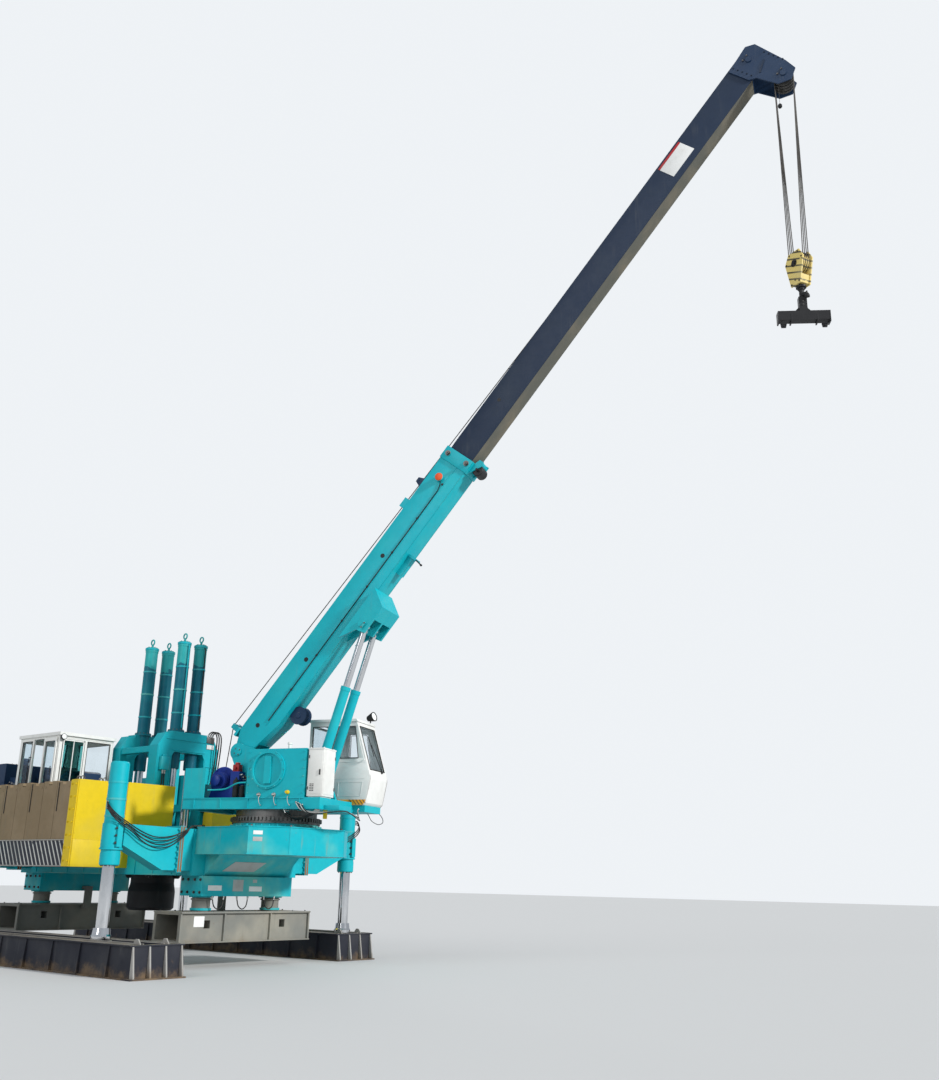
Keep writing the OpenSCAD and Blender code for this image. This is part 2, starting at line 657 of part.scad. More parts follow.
// crane cab outline in the X-Z plane, forward window leaning back
module cab_2d(g) {
  offset(delta = -g) polygon([[760, cab_z0], [2080, cab_z0], [2230, cab_z0 + 60], [2390, cab_z0 + 700],
    [2180, cab_z0 + 900], [1640, cab_z1], [560, cab_z1], [560, cab_z0 + 600], [760, cab_z0 + 350]]);
}
module crane_cab() color(white) crane() {
  difference() {
    union() {
      xz(cab_y, cab_y + cab_w) cab_2d(0);
      xz(cab_y - 25, cab_y + cab_w + 25) polygon([[530, cab_z1 - 40], [1680, cab_z1 - 40], [1640, cab_z1 + 30], [530, cab_z1 + 30]]);
    }
    xz(cab_y + cab_t, cab_y + cab_w - cab_t) cab_2d(cab_t);
    // near side windows
    xz(cab_y - 60, cab_y + cab_t + 5) cab_near_2d();
    // windscreen
    crane_cab_screen() translate([0, 0, 0]) cube([400, cab_w - 200, 700], center = true);
    // rear window
    bx(500, 620, cab_y + 120, cab_y + cab_w - 120, cab_z0 + 1150, cab_z1 - 150);
    // doorway on the left side
    xz(cab_y + cab_w - cab_t - 5, cab_y + cab_w + 60) cab_door_2d(0);
  }
  for (z = hinge_z) translate([895, cab_y + cab_w, z]) {
    bx(-70, 0, 0, 9, 0, 60);
    translate([0, hinge_out, 0]) cylinder(d = 26, h = 60);
  }
}
module cab_near_2d() {
  polygon([[1030, cab_z0 + 1060], [1560, cab_z0 + 1060], [1560, cab_z1 - 170], [1030, cab_z1 - 150]]);
  polygon([[640, cab_z0 + 1100], [950, cab_z0 + 1100], [950, cab_z1 - 150], [640, cab_z1 - 150]]);
}
module cab_door_2d(g) {
  offset(delta = -g) polygon([[900, cab_z0 + 60], [1640, cab_z0 + 60], [1700, cab_z0 + 900], [1520, cab_z1 - 120], [900, cab_z1 - 120]]);
}
// middle of the sloping windscreen, its x out of the glass
module crane_cab_screen() {
  a = [2180, cab_z0 + 900];
  b = [1640, cab_z1];
  m = (a + b) / 2;
  translate([m.x, cab_y + cab_w / 2, m.y]) rotate([0, -atan2(a.x - b.x, b.y - a.y), 0]) children();
}
module crane_cab_glass() color(glass) crane() {
  xz(cab_y + 18, cab_y + 26) cab_near_2d();
  crane_cab_screen() translate([-24, 0, 0]) cube([8, cab_w - 200.2, 699], center = true);
  bx(578, 586, cab_y + 120, cab_y + cab_w - 120, cab_z0 + 1150, cab_z1 - 150);
}
module crane_cab_door() {
  crane_cab_door_panel();
  crane_cab_door_hinges();
}
module crane_cab_door_panel() color(white) crane() difference() {
  xz(cab_y + cab_w - cab_t + 6, cab_y + cab_w - 2) cab_door_2d(7);
  xz(cab_y + cab_w - 100, cab_y + cab_w + 60)
    polygon([[980, cab_z0 + 950], [1590, cab_z0 + 950], [1460, cab_z1 - 210], [980, cab_z1 - 210]]);
}
module crane_cab_door_hinges() color(white) crane() for (z = hinge_z) translate([895, cab_y + cab_w, z + 60 + slide_gap]) {
  bx(0, 80, 1, 7, 0, 60);
  bx(20, 80, -2, 1, 0, 60);
  translate([0, hinge_out, 0]) cylinder(d = 26, h = 60);
}
module work_lamp() color(graphite) crane() translate([1560, cab_y + 120, cab_z1 + 30]) {
  bx(-20, 20, -20, 20, 0, 110);
  translate([0, 0, 190]) rotate([0, 75, 20]) translate([0, 0, -90]) cylinder(d1 = 130, d2 = 230, h = 190);
}

// ---- boom ----
module box_2d(hw, t0, t1, c) {
  polygon([[-hw, t1], [hw, t1], [hw, t0 + c], [hw - c * 0.8, t0], [-hw + c * 0.8, t0], [-hw, t0 + c]]);
}
module along(s0, s1) translate([s0, 0, 0]) rotate([90, 0, 90]) linear_extrude(s1 - s0) children();
module boom_base() color(teal) boom() {
  difference() {
    union() {
      intersection() {
        along(-260, base_l) box_2d(base_hw, base_t0, base_t1, 150);
        xz(-1000, 1000) polygon([[-150, -150], [-60, 120], [420, base_t1], [base_l, base_t1], [base_l, base_t0],
          [1100, base_t0], [60, -200]]);
      }
      // foot boss
      pin_y(380, 2 * base_hw);
      // head collar
      along(base_l - 330, base_l) box_2d(base_hw + 25, base_t0 - 25, base_t1 + 25, 150);
      // seam bands on the sides
      for (s = side) translate([0, s * (base_hw + 4), -120]) bx(900, base_l - 700, -4, 4, -14, 14);
    }
    along(700, base_l + 1) box_2d(base_hw - boom_wall, base_t0 + boom_wall, base_t1 - boom_wall, 140);
    pin_y(140.8, 2000);
    bx(-300, 420, -base_hw + 60, base_hw - 60, -400, 300);
    // round ports in the sides
    for (s = [750, 2660, 5700]) translate([s, 0, 30]) pin_y(110, 2 * base_hw + 100);
  }
  // slide pads for the inner section
  for (s = [base_l - 240]) {
    bx(s, s + 200, -180, 180, inner_t1 + slide_gap, base_t1 - boom_wall);
    bx(s, s + 200, -150, 150, base_t0 + boom_wall, inner_t0 - slide_gap);
    for (y = side) translate([0, y * (inner_hw + slide_gap), 0]) mirror([0, y > 0 ? 0 : 1, 0])
      bx(s, s + 200, 0, base_hw - boom_wall - inner_hw - slide_gap, -160, 240);
  }
}
module boom_fittings() color(teal) boom() {
  // luff lugs under the boom
  for (y = [-1, 0, 1]) translate([0, y * lug_y, 0]) xz(-32, 32)
    polygon([[3550, base_t0], [5000, base_t0], [4750, eye_t - 190], [4020, eye_t - 190], [3960, eye_t + 40]]);
  // front and lower plates that close the lugs to a box
  xz(-lug_y - 32, lug_y + 32) polygon([[5000, base_t0], [4966, base_t0], [4716, eye_t - 190], [4750, eye_t - 190]]);
  bx(4400, 4740, -lug_y - 32, lug_y + 32, eye_t - 190, eye_t - 165);
  // pin heads on the outer lugs, and the cross plate over them
  for (s = side) translate([eye_s, s * (lug_y + 55), eye_t]) pin_y(150, 50);
  bx(4430, 4960, -lug_y - 32, lug_y + 32, base_t0 - 35, base_t0);
  // rope guide at the foot
  bx(200, 420, -base_hw - 0, base_hw, base_t1, base_t1 + 60);
  for (s = side) bx(250, 370, s * 120 - 25, s * 120 + 25, base_t1 + 60, base_t1 + 330);
  translate([310, 0, base_t1 + 250]) pin_y(150, 190);
  // round caps on the sides
  for (s = side) translate([8000, s * (base_hw + 45), 20]) pin_y(170, 90);
  // upper bracket and lower roller at the head
  bx(6900, 7150, -base_hw, base_hw, base_t1, base_t1 + 130);
  translate([base_l + 60, 0, base_t0 - 120]) pin_y(160, 340);
  for (s = side) xz(s * 180 - 20, s * 180 + 20) polygon([[base_l - 300, base_t0 - 25], [base_l - 20, base_t0 - 25],
    [base_l + 140, base_t0 - 80], [base_l + 140, base_t0 - 200], [base_l, base_t0 - 200]]);
  // long bracket beneath, with its lever
  bx(5560, 6060, -90, 90, base_t0 - 140, base_t0);
  bx(6060, 6110, -130, 130, base_t0 - 240, base_t0);
  // round hose drum beneath the foot
  translate([1520, 0, base_t0 - 180]) pin_y(360, 250);
  bx(1400, 1640, -110, 110, base_t0 - 60, base_t0);
}
module boom_inner() color(navy) boom() {
  difference() {
    along(inner_s0, inner_s1) box_2d(inner_hw, inner_t0, inner_t1, 130);
    along(inner_s0 - 1, inner_s1 + 1) box_2d(inner_hw - 16, inner_t0 + 16, inner_t1 - 16, 122);
    translate([10350, 0, 20]) pin_y(90, 2000);
  }
}
// head with cheek plates, its lower end forward of the boom
module cheek_2d() {
  polygon([[inner_s1 - 60, inner_t1 - 40], [inner_s1 + 700, inner_t1 + 10], [inner_s1 + 860, inner_t1 - 160], [tip_s + 330, tip_t + 150],
    [tip_s + 240, tip_t - 180], [tip_s - 60, tip_t - 270], [tip_s - 290, tip_t - 60], [inner_s1 + 60, inner_t0 - 60], [inner_s1 - 60, inner_t0 + 60]]);
}
module boom_head() color(navy) boom() {
  difference() {
    union() {
      for (s = side) translate([0, s * (inner_hw + 16), 0]) xz(-16, 16) cheek_2d();
      bx(inner_s1, inner_s1 + 700, -inner_hw, inner_hw, inner_t1 - 30, inner_t1);
      bx(inner_s1, inner_s1 + 30, -inner_hw, inner_hw, inner_t0, inner_t1 - 30);
      // heads of the sheave shafts
      for (s = side, t = [tip_t, 30]) translate([tip_s, s * (inner_hw + 46), t]) pin_y(150, 30);
    }
    translate([inner_s1 - 70, -inner_hw, inner_t0 - 40]) cube([70, 2 * inner_hw, inner_t1 - inner_t0 + 40]);
  }
}
// grooved sheave with its hub, width w and hub width h
module sheave(w, h) rotate([90, 0, 0]) rotate_extrude() polygon([
  [0, -h / 2], [100, -h / 2], [115, -w / 5], [groove_r - 30, -w / 5], [groove_r - 12, -w / 2], [groove_r + 28, -w / 2],
  [groove_r + 28, 8 - w / 2], [groove_r, -9], [groove_r, 9], [groove_r + 28, w / 2 - 8], [groove_r + 28, w / 2],
  [groove_r - 12, w / 2], [groove_r - 30, w / 5], [115, w / 5], [100, h / 2], [0, h / 2]]);
module head_sheaves() color(steel) boom() {
  for (y = [-150, -50, 50, 150]) translate([tip_s, y, tip_t]) sheave(60, 90);
  for (y = [-60, 60]) translate([tip_s, y, 30]) sheave(60, 90);
  // shafts between the cheeks
  for (t = [tip_t, 30]) translate([tip_s, 0, t]) pin_y(120, 2 * inner_hw);
}

// ---- hook ----
block_w = 300;
module rope_falls() color(graphite) hook_frame() {
  // each fall, from its head sheave to its block sheave
  for (y = [-150, -50, 50, 150], x = side) {
    a = [x * fall_r, y, 0];
    q = [x * fall_r, y * 0.56];
    b = [q.x * cos(block_turn) + q.y * sin(block_turn), -q.x * sin(block_turn) + q.y * cos(block_turn), -fall - 290];
    v = b - a;
    translate(a) rotate([0, acos(v.z / norm(v)), atan2(v.y, v.x)]) cylinder(d = rope_d, h = norm(v) + 4, $fn = 12);
  }
  // turns of rope under the block sheaves
  translate([0, 0, -fall - 290]) rotate([0, 0, -block_turn]) for (y = [-150, -50, 50, 150])
    translate([0, y * 0.56, 0]) rotate([90, 0, 0]) rotate([0, 0, 180]) rotate_extrude(angle = 180)
      translate([fall_r, 0]) circle(d = rope_d, $fn = 12);
}
module block_2d(g) {
  offset(delta = g) polygon([[-170, 60], [170, 60], [290, -160], [150, -780], [-150, -780], [-290, -160]]);
}
module hook_block() color(yellow) hook_frame() translate([0, 0, -fall - 60]) rotate([0, 0, -block_turn]) {
  for (s = side) translate([0, s * (block_w / 2 - 15), 0]) xz(-15, 15) block_2d(0);
  difference() {
    xz(-block_w / 2 + 30, block_w / 2 - 30) block_2d(-25);
    bx(-400, 400, -block_w / 2, block_w / 2, -560, 200);
  }
  for (y = [-84, -28, 28, 84]) translate([0, y, -230]) sheave(50, 56);
  translate([0, 0, -230]) pin_y(90, block_w + 40);
}
module hook() color(graphite) hook_frame() translate([0, 0, -fall - 840]) rotate([0, 0, -block_turn]) {
  // swivel, shank and hook
  translate([0, 0, -60]) cylinder(d = 190, h = 60);
  translate([0, 0, -240]) cylinder(d = 110, h = 200);
  translate([60, 0, -360]) rotate([90, 0, 0]) rotate_extrude(angle = 250) translate([120, 0]) circle(d = 100);
  // lifting beam that hangs in the hook
  translate([0, 0, -780]) rotate([0, 0, 60]) {
    bx(-90, 90, -70, 70, 60, 480);
    translate([0, 0, 0]) cube([1150, 200, 220], center = true);
  }
}

// ---- luffing cylinders ----
module luff_barrels() color(teal) luff_frame() for (s = side) translate([0, s * luff_y, 0]) {
  difference() {
    union() {
      pin_y(200, 130);
      bx(0, 200, -65, 65, -75, 75);
      translate([150, 0, 0]) rotate([0, 90, 0]) cylinder(d = luff_d, h = luff_l - 150);
      translate([luff_l - 90, 0, 0]) rotate([0, 90, 0]) cylinder(d = luff_d + 16, h = 90);
    }
    pin_y(101, 400);
    translate([210, 0, 0]) rotate([0, 90, 0]) cylinder(d = luff_rod_d + 2 * rod_gap, h = luff_l);
  }
}
module luff_rods() color(chrome) luff_frame() for (s = side) translate([0, s * luff_y, 0]) {
  translate([luff_l - 800, 0, 0]) rotate([0, 90, 0]) cylinder(d = luff_rod_d, h = luff_span - luff_l + 800 - 110);
  // eye and its pin
  translate([luff_span, 0, 0]) {
    pin_y(190, 120);
    translate([0, s * (lug_y / 2 - luff_y), 0]) pin_y(110, lug_y - 84);
    bx(-160, 0, -60, 60, -70, 70);
  }
}

platform();
pedestal();
front_arms();
rear_arms();
front_leg_barrels();
rear_leg_barrels();
press_frame();
press_barrels();
rack_right();
rack_left();
slabs_right();
slabs_left();
yellow_weights();
operator_cab();
operator_glass();
power_pack();
fluid_tank();
shoe_carriers();
right_jacks();
left_jacks();
right_long_shoe();
left_long_shoe();
front_short_shoe();
rear_short_shoe();
clamp_head();
press_rods();
crane_deck();
slewing_ring();
winch();
cabinets();
crane_cab();
crane_cab_glass();
work_lamp();
crane_cab_door();
operator_cab_door();
boom_base();
boom_fittings();
boom_inner();
boom_head();
head_sheaves();
rope_falls();
hook_block();
hook();
luff_barrels();
luff_rods();
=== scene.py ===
"""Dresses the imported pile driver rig: its finishes, the fittings that the solids leave out, camera and light."""

import logging
import math
from dataclasses import dataclass, field
from enum import Enum
from itertools import product
from typing import Iterable, Sequence

import bmesh
import bpy
from mathutils import Euler, Matrix, Vector


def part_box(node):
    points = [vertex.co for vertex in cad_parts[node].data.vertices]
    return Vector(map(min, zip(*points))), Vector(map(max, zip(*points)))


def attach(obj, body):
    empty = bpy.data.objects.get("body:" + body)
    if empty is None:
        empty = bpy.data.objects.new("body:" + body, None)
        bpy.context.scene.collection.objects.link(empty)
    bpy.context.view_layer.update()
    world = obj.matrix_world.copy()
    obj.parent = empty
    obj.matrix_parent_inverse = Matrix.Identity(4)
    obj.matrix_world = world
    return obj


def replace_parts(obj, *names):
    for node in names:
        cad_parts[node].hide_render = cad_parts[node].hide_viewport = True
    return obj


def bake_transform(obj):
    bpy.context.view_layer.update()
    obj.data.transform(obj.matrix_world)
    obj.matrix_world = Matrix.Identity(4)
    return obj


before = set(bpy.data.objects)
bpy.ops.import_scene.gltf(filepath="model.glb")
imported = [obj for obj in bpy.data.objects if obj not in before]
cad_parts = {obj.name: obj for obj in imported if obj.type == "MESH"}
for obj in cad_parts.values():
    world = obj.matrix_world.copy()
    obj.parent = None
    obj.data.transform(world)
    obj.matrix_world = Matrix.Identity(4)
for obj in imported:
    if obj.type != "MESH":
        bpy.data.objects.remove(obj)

LOG = logging.getLogger("rig")
Point = tuple[float, float, float]
Pair = tuple[float, float]
Socket = bpy.types.NodeSocket
Places = Iterable[tuple[Point, Point]]

UP: Point = (0, 0, 1)
SIDES = (1, -1)
CORNERS = tuple(product(SIDES, SIDES))
SLEW = math.radians(18.85)
LUFF = math.radians(52.34)
LEG_X = 3.275
LEG_Y = 3.5
PEDESTAL_X = 4.45
BOOM_FOOT = (-0.945, 0, 4.723)
ROPE_R = 0.011
ROPE_GUIDE = (0.2575, -0.06, 0.668)
ROW = Matrix.Identity(4)
CRANE = Matrix.Translation((PEDESTAL_X, 0, 0)) @ Matrix.Rotation(SLEW, 4, "Z")
BOOM = CRANE @ Matrix.Translation(BOOM_FOOT) @ Matrix.Rotation(-LUFF, 4, "Y")
TIP = BOOM @ Vector((20.65, 0, -0.95))
HOOK = Matrix.Translation(TIP) @ Matrix.Rotation(SLEW, 4, "Z")
BLOCK = HOOK @ Matrix.Translation((0, 0, -4.84)) @ Matrix.Rotation(-math.radians(45), 4, "Z")
FRAMES = {"boom": BOOM, "boom_tip": BOOM, "crane": CRANE, "cab_door": CRANE, "hook_set": BLOCK}


class Facing(Enum):
    """The two directions that an outline is drawn in, and the third that it is drawn out along."""

    XY = (0, 1, 2)
    XZ = (0, 2, 1)


def wired(tree: bpy.types.NodeTree, kind: str, feeds: dict[str | int, object], **values: object) -> bpy.types.Node:
    """Adds a node to a tree.

    Args:
        tree: the tree.
        kind: the node's type.
        feeds: its inputs, each a socket to link or a value to set.
        values: its properties.

    Returns:
        The node.
    """
    node = tree.nodes.new(kind)
    for key, value in values.items():
        setattr(node, key, value)
    for key, value in feeds.items():
        if isinstance(value, Socket):
            tree.links.new(value, node.inputs[key])
        else:
            node.inputs[key].default_value = value
    return node


def solid(colour: object) -> object:
    """A colour with its alpha, or the socket as it is."""
    return colour if isinstance(colour, Socket) else (*colour[:3], 1.0)


# ---- finishes ----

METAL_SPECULAR = 0.5
PAINT_SPECULAR = 0.22
COAT_ROUGHNESS = 0.15


class Nodes:
    """A material's node tree, with short calls for the nodes that the finishes share."""

    def __init__(self, name: str) -> None:
        """Makes an empty material of that name, with its Principled shader.

        Args:
            name: the name.
        """
        self.material = bpy.data.materials.new(name)
        self.material.use_nodes = True
        self.tree = self.material.node_tree
        self.shader = next(n for n in self.tree.nodes if n.type == "BSDF_PRINCIPLED")
        self.place = self.tree.nodes.new("ShaderNodeTexCoord").outputs["Object"]

    def add(self, kind: str, feeds: dict[str | int, object], out: str | int = 0, **values: object) -> Socket:
        """Adds a node and returns one of its outputs."""
        return wired(self.tree, kind, feeds, **values).outputs[out]

    def math(self, kind: str, a: object, b: object = 0.0, clamp: bool = False) -> Socket:
        """A Math node on numbers or sockets."""
        return self.add("ShaderNodeMath", {0: a, 1: b}, operation=kind, use_clamp=clamp)

    def noise(self, scale: float, detail: float = 4.0, rough: float = 0.55, stretch: Point = (1, 1, 1)) -> Socket:
        """Noise over the piece's place, stretched along an axis where that factor is below one."""
        place = self.add("ShaderNodeMapping", {"Vector": self.place, "Scale": stretch})
        return self.add("ShaderNodeTexNoise", {"Vector": place, "Scale": scale, "Detail": detail, "Roughness": rough})

    def ramp(self, value: object, low: float, high: float) -> Socket:
        """A smooth step from 0 at low to 1 at high."""
        return self.add("ShaderNodeMapRange", {0: value, 1: low, 2: high}, interpolation_type="SMOOTHSTEP")

    def along(self, direction: Sequence[float], origin: Sequence[float]) -> Socket:
        """Distance from an origin along a direction."""
        away = self.add("ShaderNodeVectorMath", {0: self.place, 1: tuple(origin)}, operation="SUBTRACT")
        return self.add("ShaderNodeVectorMath", {0: away, 1: tuple(direction)}, "Value", operation="DOT_PRODUCT")

    def band(self, value: object, low: float, high: float, soft: float = 0.004) -> Socket:
        """One between low and high, zero outside."""
        past = self.math("SUBTRACT", 1.0, self.ramp(value, high - soft, high + soft))
        return self.math("MULTIPLY", self.ramp(value, low - soft, low + soft), past)

    def height(self) -> Socket:
        """How high a place is on the piece."""
        return self.add("ShaderNodeSeparateXYZ", {0: self.place}, 2)

    def up(self) -> Socket:
        """How far a face looks upwards, from minus one to one."""
        return self.add("ShaderNodeSeparateXYZ", {0: self.add("ShaderNodeNewGeometry", {}, "Normal")}, 2)

    def mix(self, share: object, a: object, b: object) -> Socket:
        """Mixes two colours."""
        return self.add("ShaderNodeMix", {0: share, 6: solid(a), 7: solid(b)}, 2, data_type="RGBA")

    def bump(self, height: Socket, depth: float, strength: float) -> None:
        """Gives the shader a bump of that depth in metres."""
        bumps = self.add("ShaderNodeBump", {"Strength": strength, "Distance": depth, "Height": height})
        self.tree.links.new(bumps, self.shader.inputs["Normal"])

    def surface(self, colour: object, rough: object, metal: float = 0.0, coat: float = 0.0) -> bpy.types.Material:
        """Feeds the shader and returns the material.

        Args:
            colour: its base colour.
            rough: its roughness.
            metal: one for bare metal.
            coat: weight of a clear coat.

        Returns:
            The material.
        """
        feeds = {"Base Color": solid(colour), "Roughness": rough, "Metallic": metal}
        feeds["Specular IOR Level"] = METAL_SPECULAR if metal else PAINT_SPECULAR
        if coat:
            feeds |= {"Coat Weight": coat, "Coat Roughness": COAT_ROUGHNESS}
        for key, value in feeds.items():
            if isinstance(value, Socket):
                self.tree.links.new(value, self.shader.inputs[key])
            else:
                self.shader.inputs[key].default_value = value
        return self.material


@dataclass(frozen=True)
class Paint:
    """Site-worn paint on steel: faded patches, rain streaks, chips down to rust, dust on ledges and mud low down."""

    name: str
    colour: Point
    faded: Point
    rough: float = 0.38
    fade: float = 0.5
    rust: float = 0.3
    streaks: float = 0.35
    dust: float = 0.25
    mud_top: float = 0.0
    coat: float = 0.05

    RUST = (0.17, 0.065, 0.022)
    DUST = (0.36, 0.3, 0.22)
    MUD = (0.2, 0.135, 0.075)

    def weather(self, n: Nodes, base: object) -> Socket:
        """Lays fading, streaks, rust, dust and mud over a base colour.

        Args:
            n: the nodes of its material.
            base: the colour that the wear lies on.

        Returns:
            The worn colour.
        """
        patch = n.ramp(n.noise(0.9, 3.0), 0.42, 0.72)
        colour = n.mix(n.math("MULTIPLY", patch, self.fade), base, self.faded)
        shade = n.ramp(n.noise(6.0, 6.0, 0.65), 0.25, 0.8)
        colour = n.mix(n.math("MULTIPLY", shade, 0.16), colour, tuple(0.45 * c for c in self.colour))
        streak = n.ramp(n.noise(9.0, 3.0, 0.6, (1, 1, 0.07)), 0.56, 0.74)
        streak = n.math("MULTIPLY", streak, n.ramp(n.noise(1.3, 2.0), 0.4, 0.65))
        colour = n.mix(n.math("MULTIPLY", streak, self.streaks), colour, tuple(0.5 * c + 0.06 for c in self.faded))
        fine = n.noise(22.0, 8.0, 0.7)
        spots = n.math("MULTIPLY", n.ramp(fine, 0.63, 0.68), n.ramp(n.noise(0.75, 4.0), 0.48, 0.62))
        colour = n.mix(n.math("MULTIPLY", spots, self.rust, True), colour, self.RUST)
        top = n.math("MULTIPLY", n.ramp(n.up(), 0.6, 0.95), n.ramp(n.noise(3.0, 6.0, 0.7), 0.3, 0.75))
        colour = n.mix(n.math("MULTIPLY", top, self.dust), colour, self.DUST)
        if self.mud_top > 0:
            edge = n.math("ADD", n.height(), n.math("MULTIPLY", n.math("SUBTRACT", n.noise(2.2, 8.0, 0.7), 0.5), -1.1))
            mud = n.math("SUBTRACT", 1.0, n.ramp(edge, self.mud_top - 0.28, self.mud_top + 0.12))
            colour = n.mix(n.math("MULTIPLY", mud, 0.85), colour, self.MUD)
        return colour

    def base(self, n: Nodes) -> object:
        """The clean colour of the paint."""
        return self.colour

    def make(self) -> bpy.types.Material:
        """Builds the material.

        Returns:
            The material.
        """
        n = Nodes(self.name)
        colour = self.weather(n, self.base(n))
        rough = n.math("ADD", self.rough - 0.08, n.math("MULTIPLY", n.noise(4.0, 5.0), 0.3), True)
        n.bump(n.noise(30.0, 5.0, 0.6), 0.0016, 0.35)
        return n.surface(colour, rough, 0.0, self.coat)


@dataclass(frozen=True)
class Banded(Paint):
    """Paint whose colour changes at set distances along a line; on the press barrels this is painted shade, dark teal
    below and the lit teal in a band near the top.
    """

    direction: Point = UP
    origin: Point = (0, 0, 0)
    bands: tuple[tuple[float, float, Point], ...] = ()
    ragged: float = 0.0

    def base(self, n: Nodes) -> object:
        """The paint's colour with its bands.

        Args:
            n: the nodes of its material.

        Returns:
            The paint's colour.
        """
        place = n.along(self.direction, self.origin)
        if self.ragged:
            place = n.math("ADD", place, n.math("MULTIPLY", n.math("SUBTRACT", n.noise(3.5, 5.0), 0.5), self.ragged))
        colour: object = self.colour
        for low, high, tint in self.bands:
            colour = n.mix(n.band(place, low, high), colour, tint)
        return colour


@dataclass(frozen=True)
class Striped(Paint):
    """Hazard stripes that slope across a face, only where the place along a guard direction is in its range."""

    stripe: Point = (0.75, 0.75, 0.72)
    slope: Point = (1, 0, 1)
    pitch: float = 0.2
    share: float = 0.3
    guard: Point = UP
    guard_from: float = -100.0
    guard_to: float = 100.0

    def base(self, n: Nodes) -> object:
        """The colour with stripes over it.

        Args:
            n: the nodes of its material.

        Returns:
            The paint's colour.
        """
        place = n.math("MULTIPLY", n.along(self.slope, (0, 0, 0)), 1.0 / self.pitch)
        saw = n.math("FRACT", place)
        line = n.band(saw, 0.03, 0.03 + self.share, 0.03)
        worn = n.math("MULTIPLY", line, n.ramp(n.noise(7.0, 6.0), 0.3, 0.42))
        return n.mix(
            n.math("MULTIPLY", worn, n.band(n.along(self.guard, (0, 0, 0)), self.guard_from, self.guard_to)),
            self.colour, self.stripe,
        )


@dataclass(frozen=True)
class Metal:
    """Bare, oiled or greasy metal."""

    name: str
    colour: Point
    rough: float
    metal: float = 1.0
    grime: Point = (0.03, 0.028, 0.025)
    dirt: float = 0.3
    turned: bool = False

    def make(self) -> bpy.types.Material:
        """Builds the material.

        Returns:
            The material.
        """
        n = Nodes(self.name)
        smear = n.math("MULTIPLY", n.ramp(n.noise(3.0, 6.0, 0.65, (1, 1, 0.35)), 0.45, 0.75), self.dirt)
        colour = n.mix(smear, self.colour, self.grime)
        rough = n.math("ADD", self.rough, n.math("MULTIPLY", smear, 0.5), True)
        n.bump(n.noise(60.0, 4.0, 0.6, (1, 1, 4.0) if self.turned else (1, 1, 1)), 0.0006, 0.25)
        return n.surface(colour, rough, self.metal)


@dataclass(frozen=True)
class Plain:
    """Rubber, rope, plastic and other matt things, with mottling and a fine grain."""

    name: str
    colour: Point
    rough: float = 0.7
    mottle: float = 0.35
    other: Point = (0.16, 0.14, 0.11)
    grain: float = 90.0

    def make(self) -> bpy.types.Material:
        """Builds the material.

        Returns:
            The material.
        """
        n = Nodes(self.name)
        colour = n.mix(n.math("MULTIPLY", n.ramp(n.noise(5.0, 6.0), 0.45, 0.75), self.mottle), self.colour, self.other)
        n.bump(n.noise(self.grain, 4.0), 0.001, 0.4)
        return n.surface(colour, self.rough)


@dataclass(frozen=True)
class Pane:
    """Window glass with a dusty film."""

    name: str
    tint: Point
    film: float = 0.12

    def make(self) -> bpy.types.Material:
        """Builds the material.

        Returns:
            The material.
        """
        n = Nodes(self.name)
        n.shader.inputs["Transmission Weight"].default_value = 1.0
        n.shader.inputs["IOR"].default_value = 1.2
        dust = n.ramp(n.noise(2.2, 6.0, 0.7), 0.35, 0.8)
        rough = n.math("MULTIPLY", dust, self.film)
        return n.surface(n.mix(n.math("MULTIPLY", dust, 0.3), self.tint, tuple(0.75 * c for c in self.tint)), rough)


TEAL = (0.002, 0.41, 0.48)
TEAL_FADED = (0.02, 0.46, 0.48)
NAVY = (0.012, 0.035, 0.085)
WHITE = (0.78, 0.78, 0.75)
BLACK = (0.018, 0.018, 0.02)

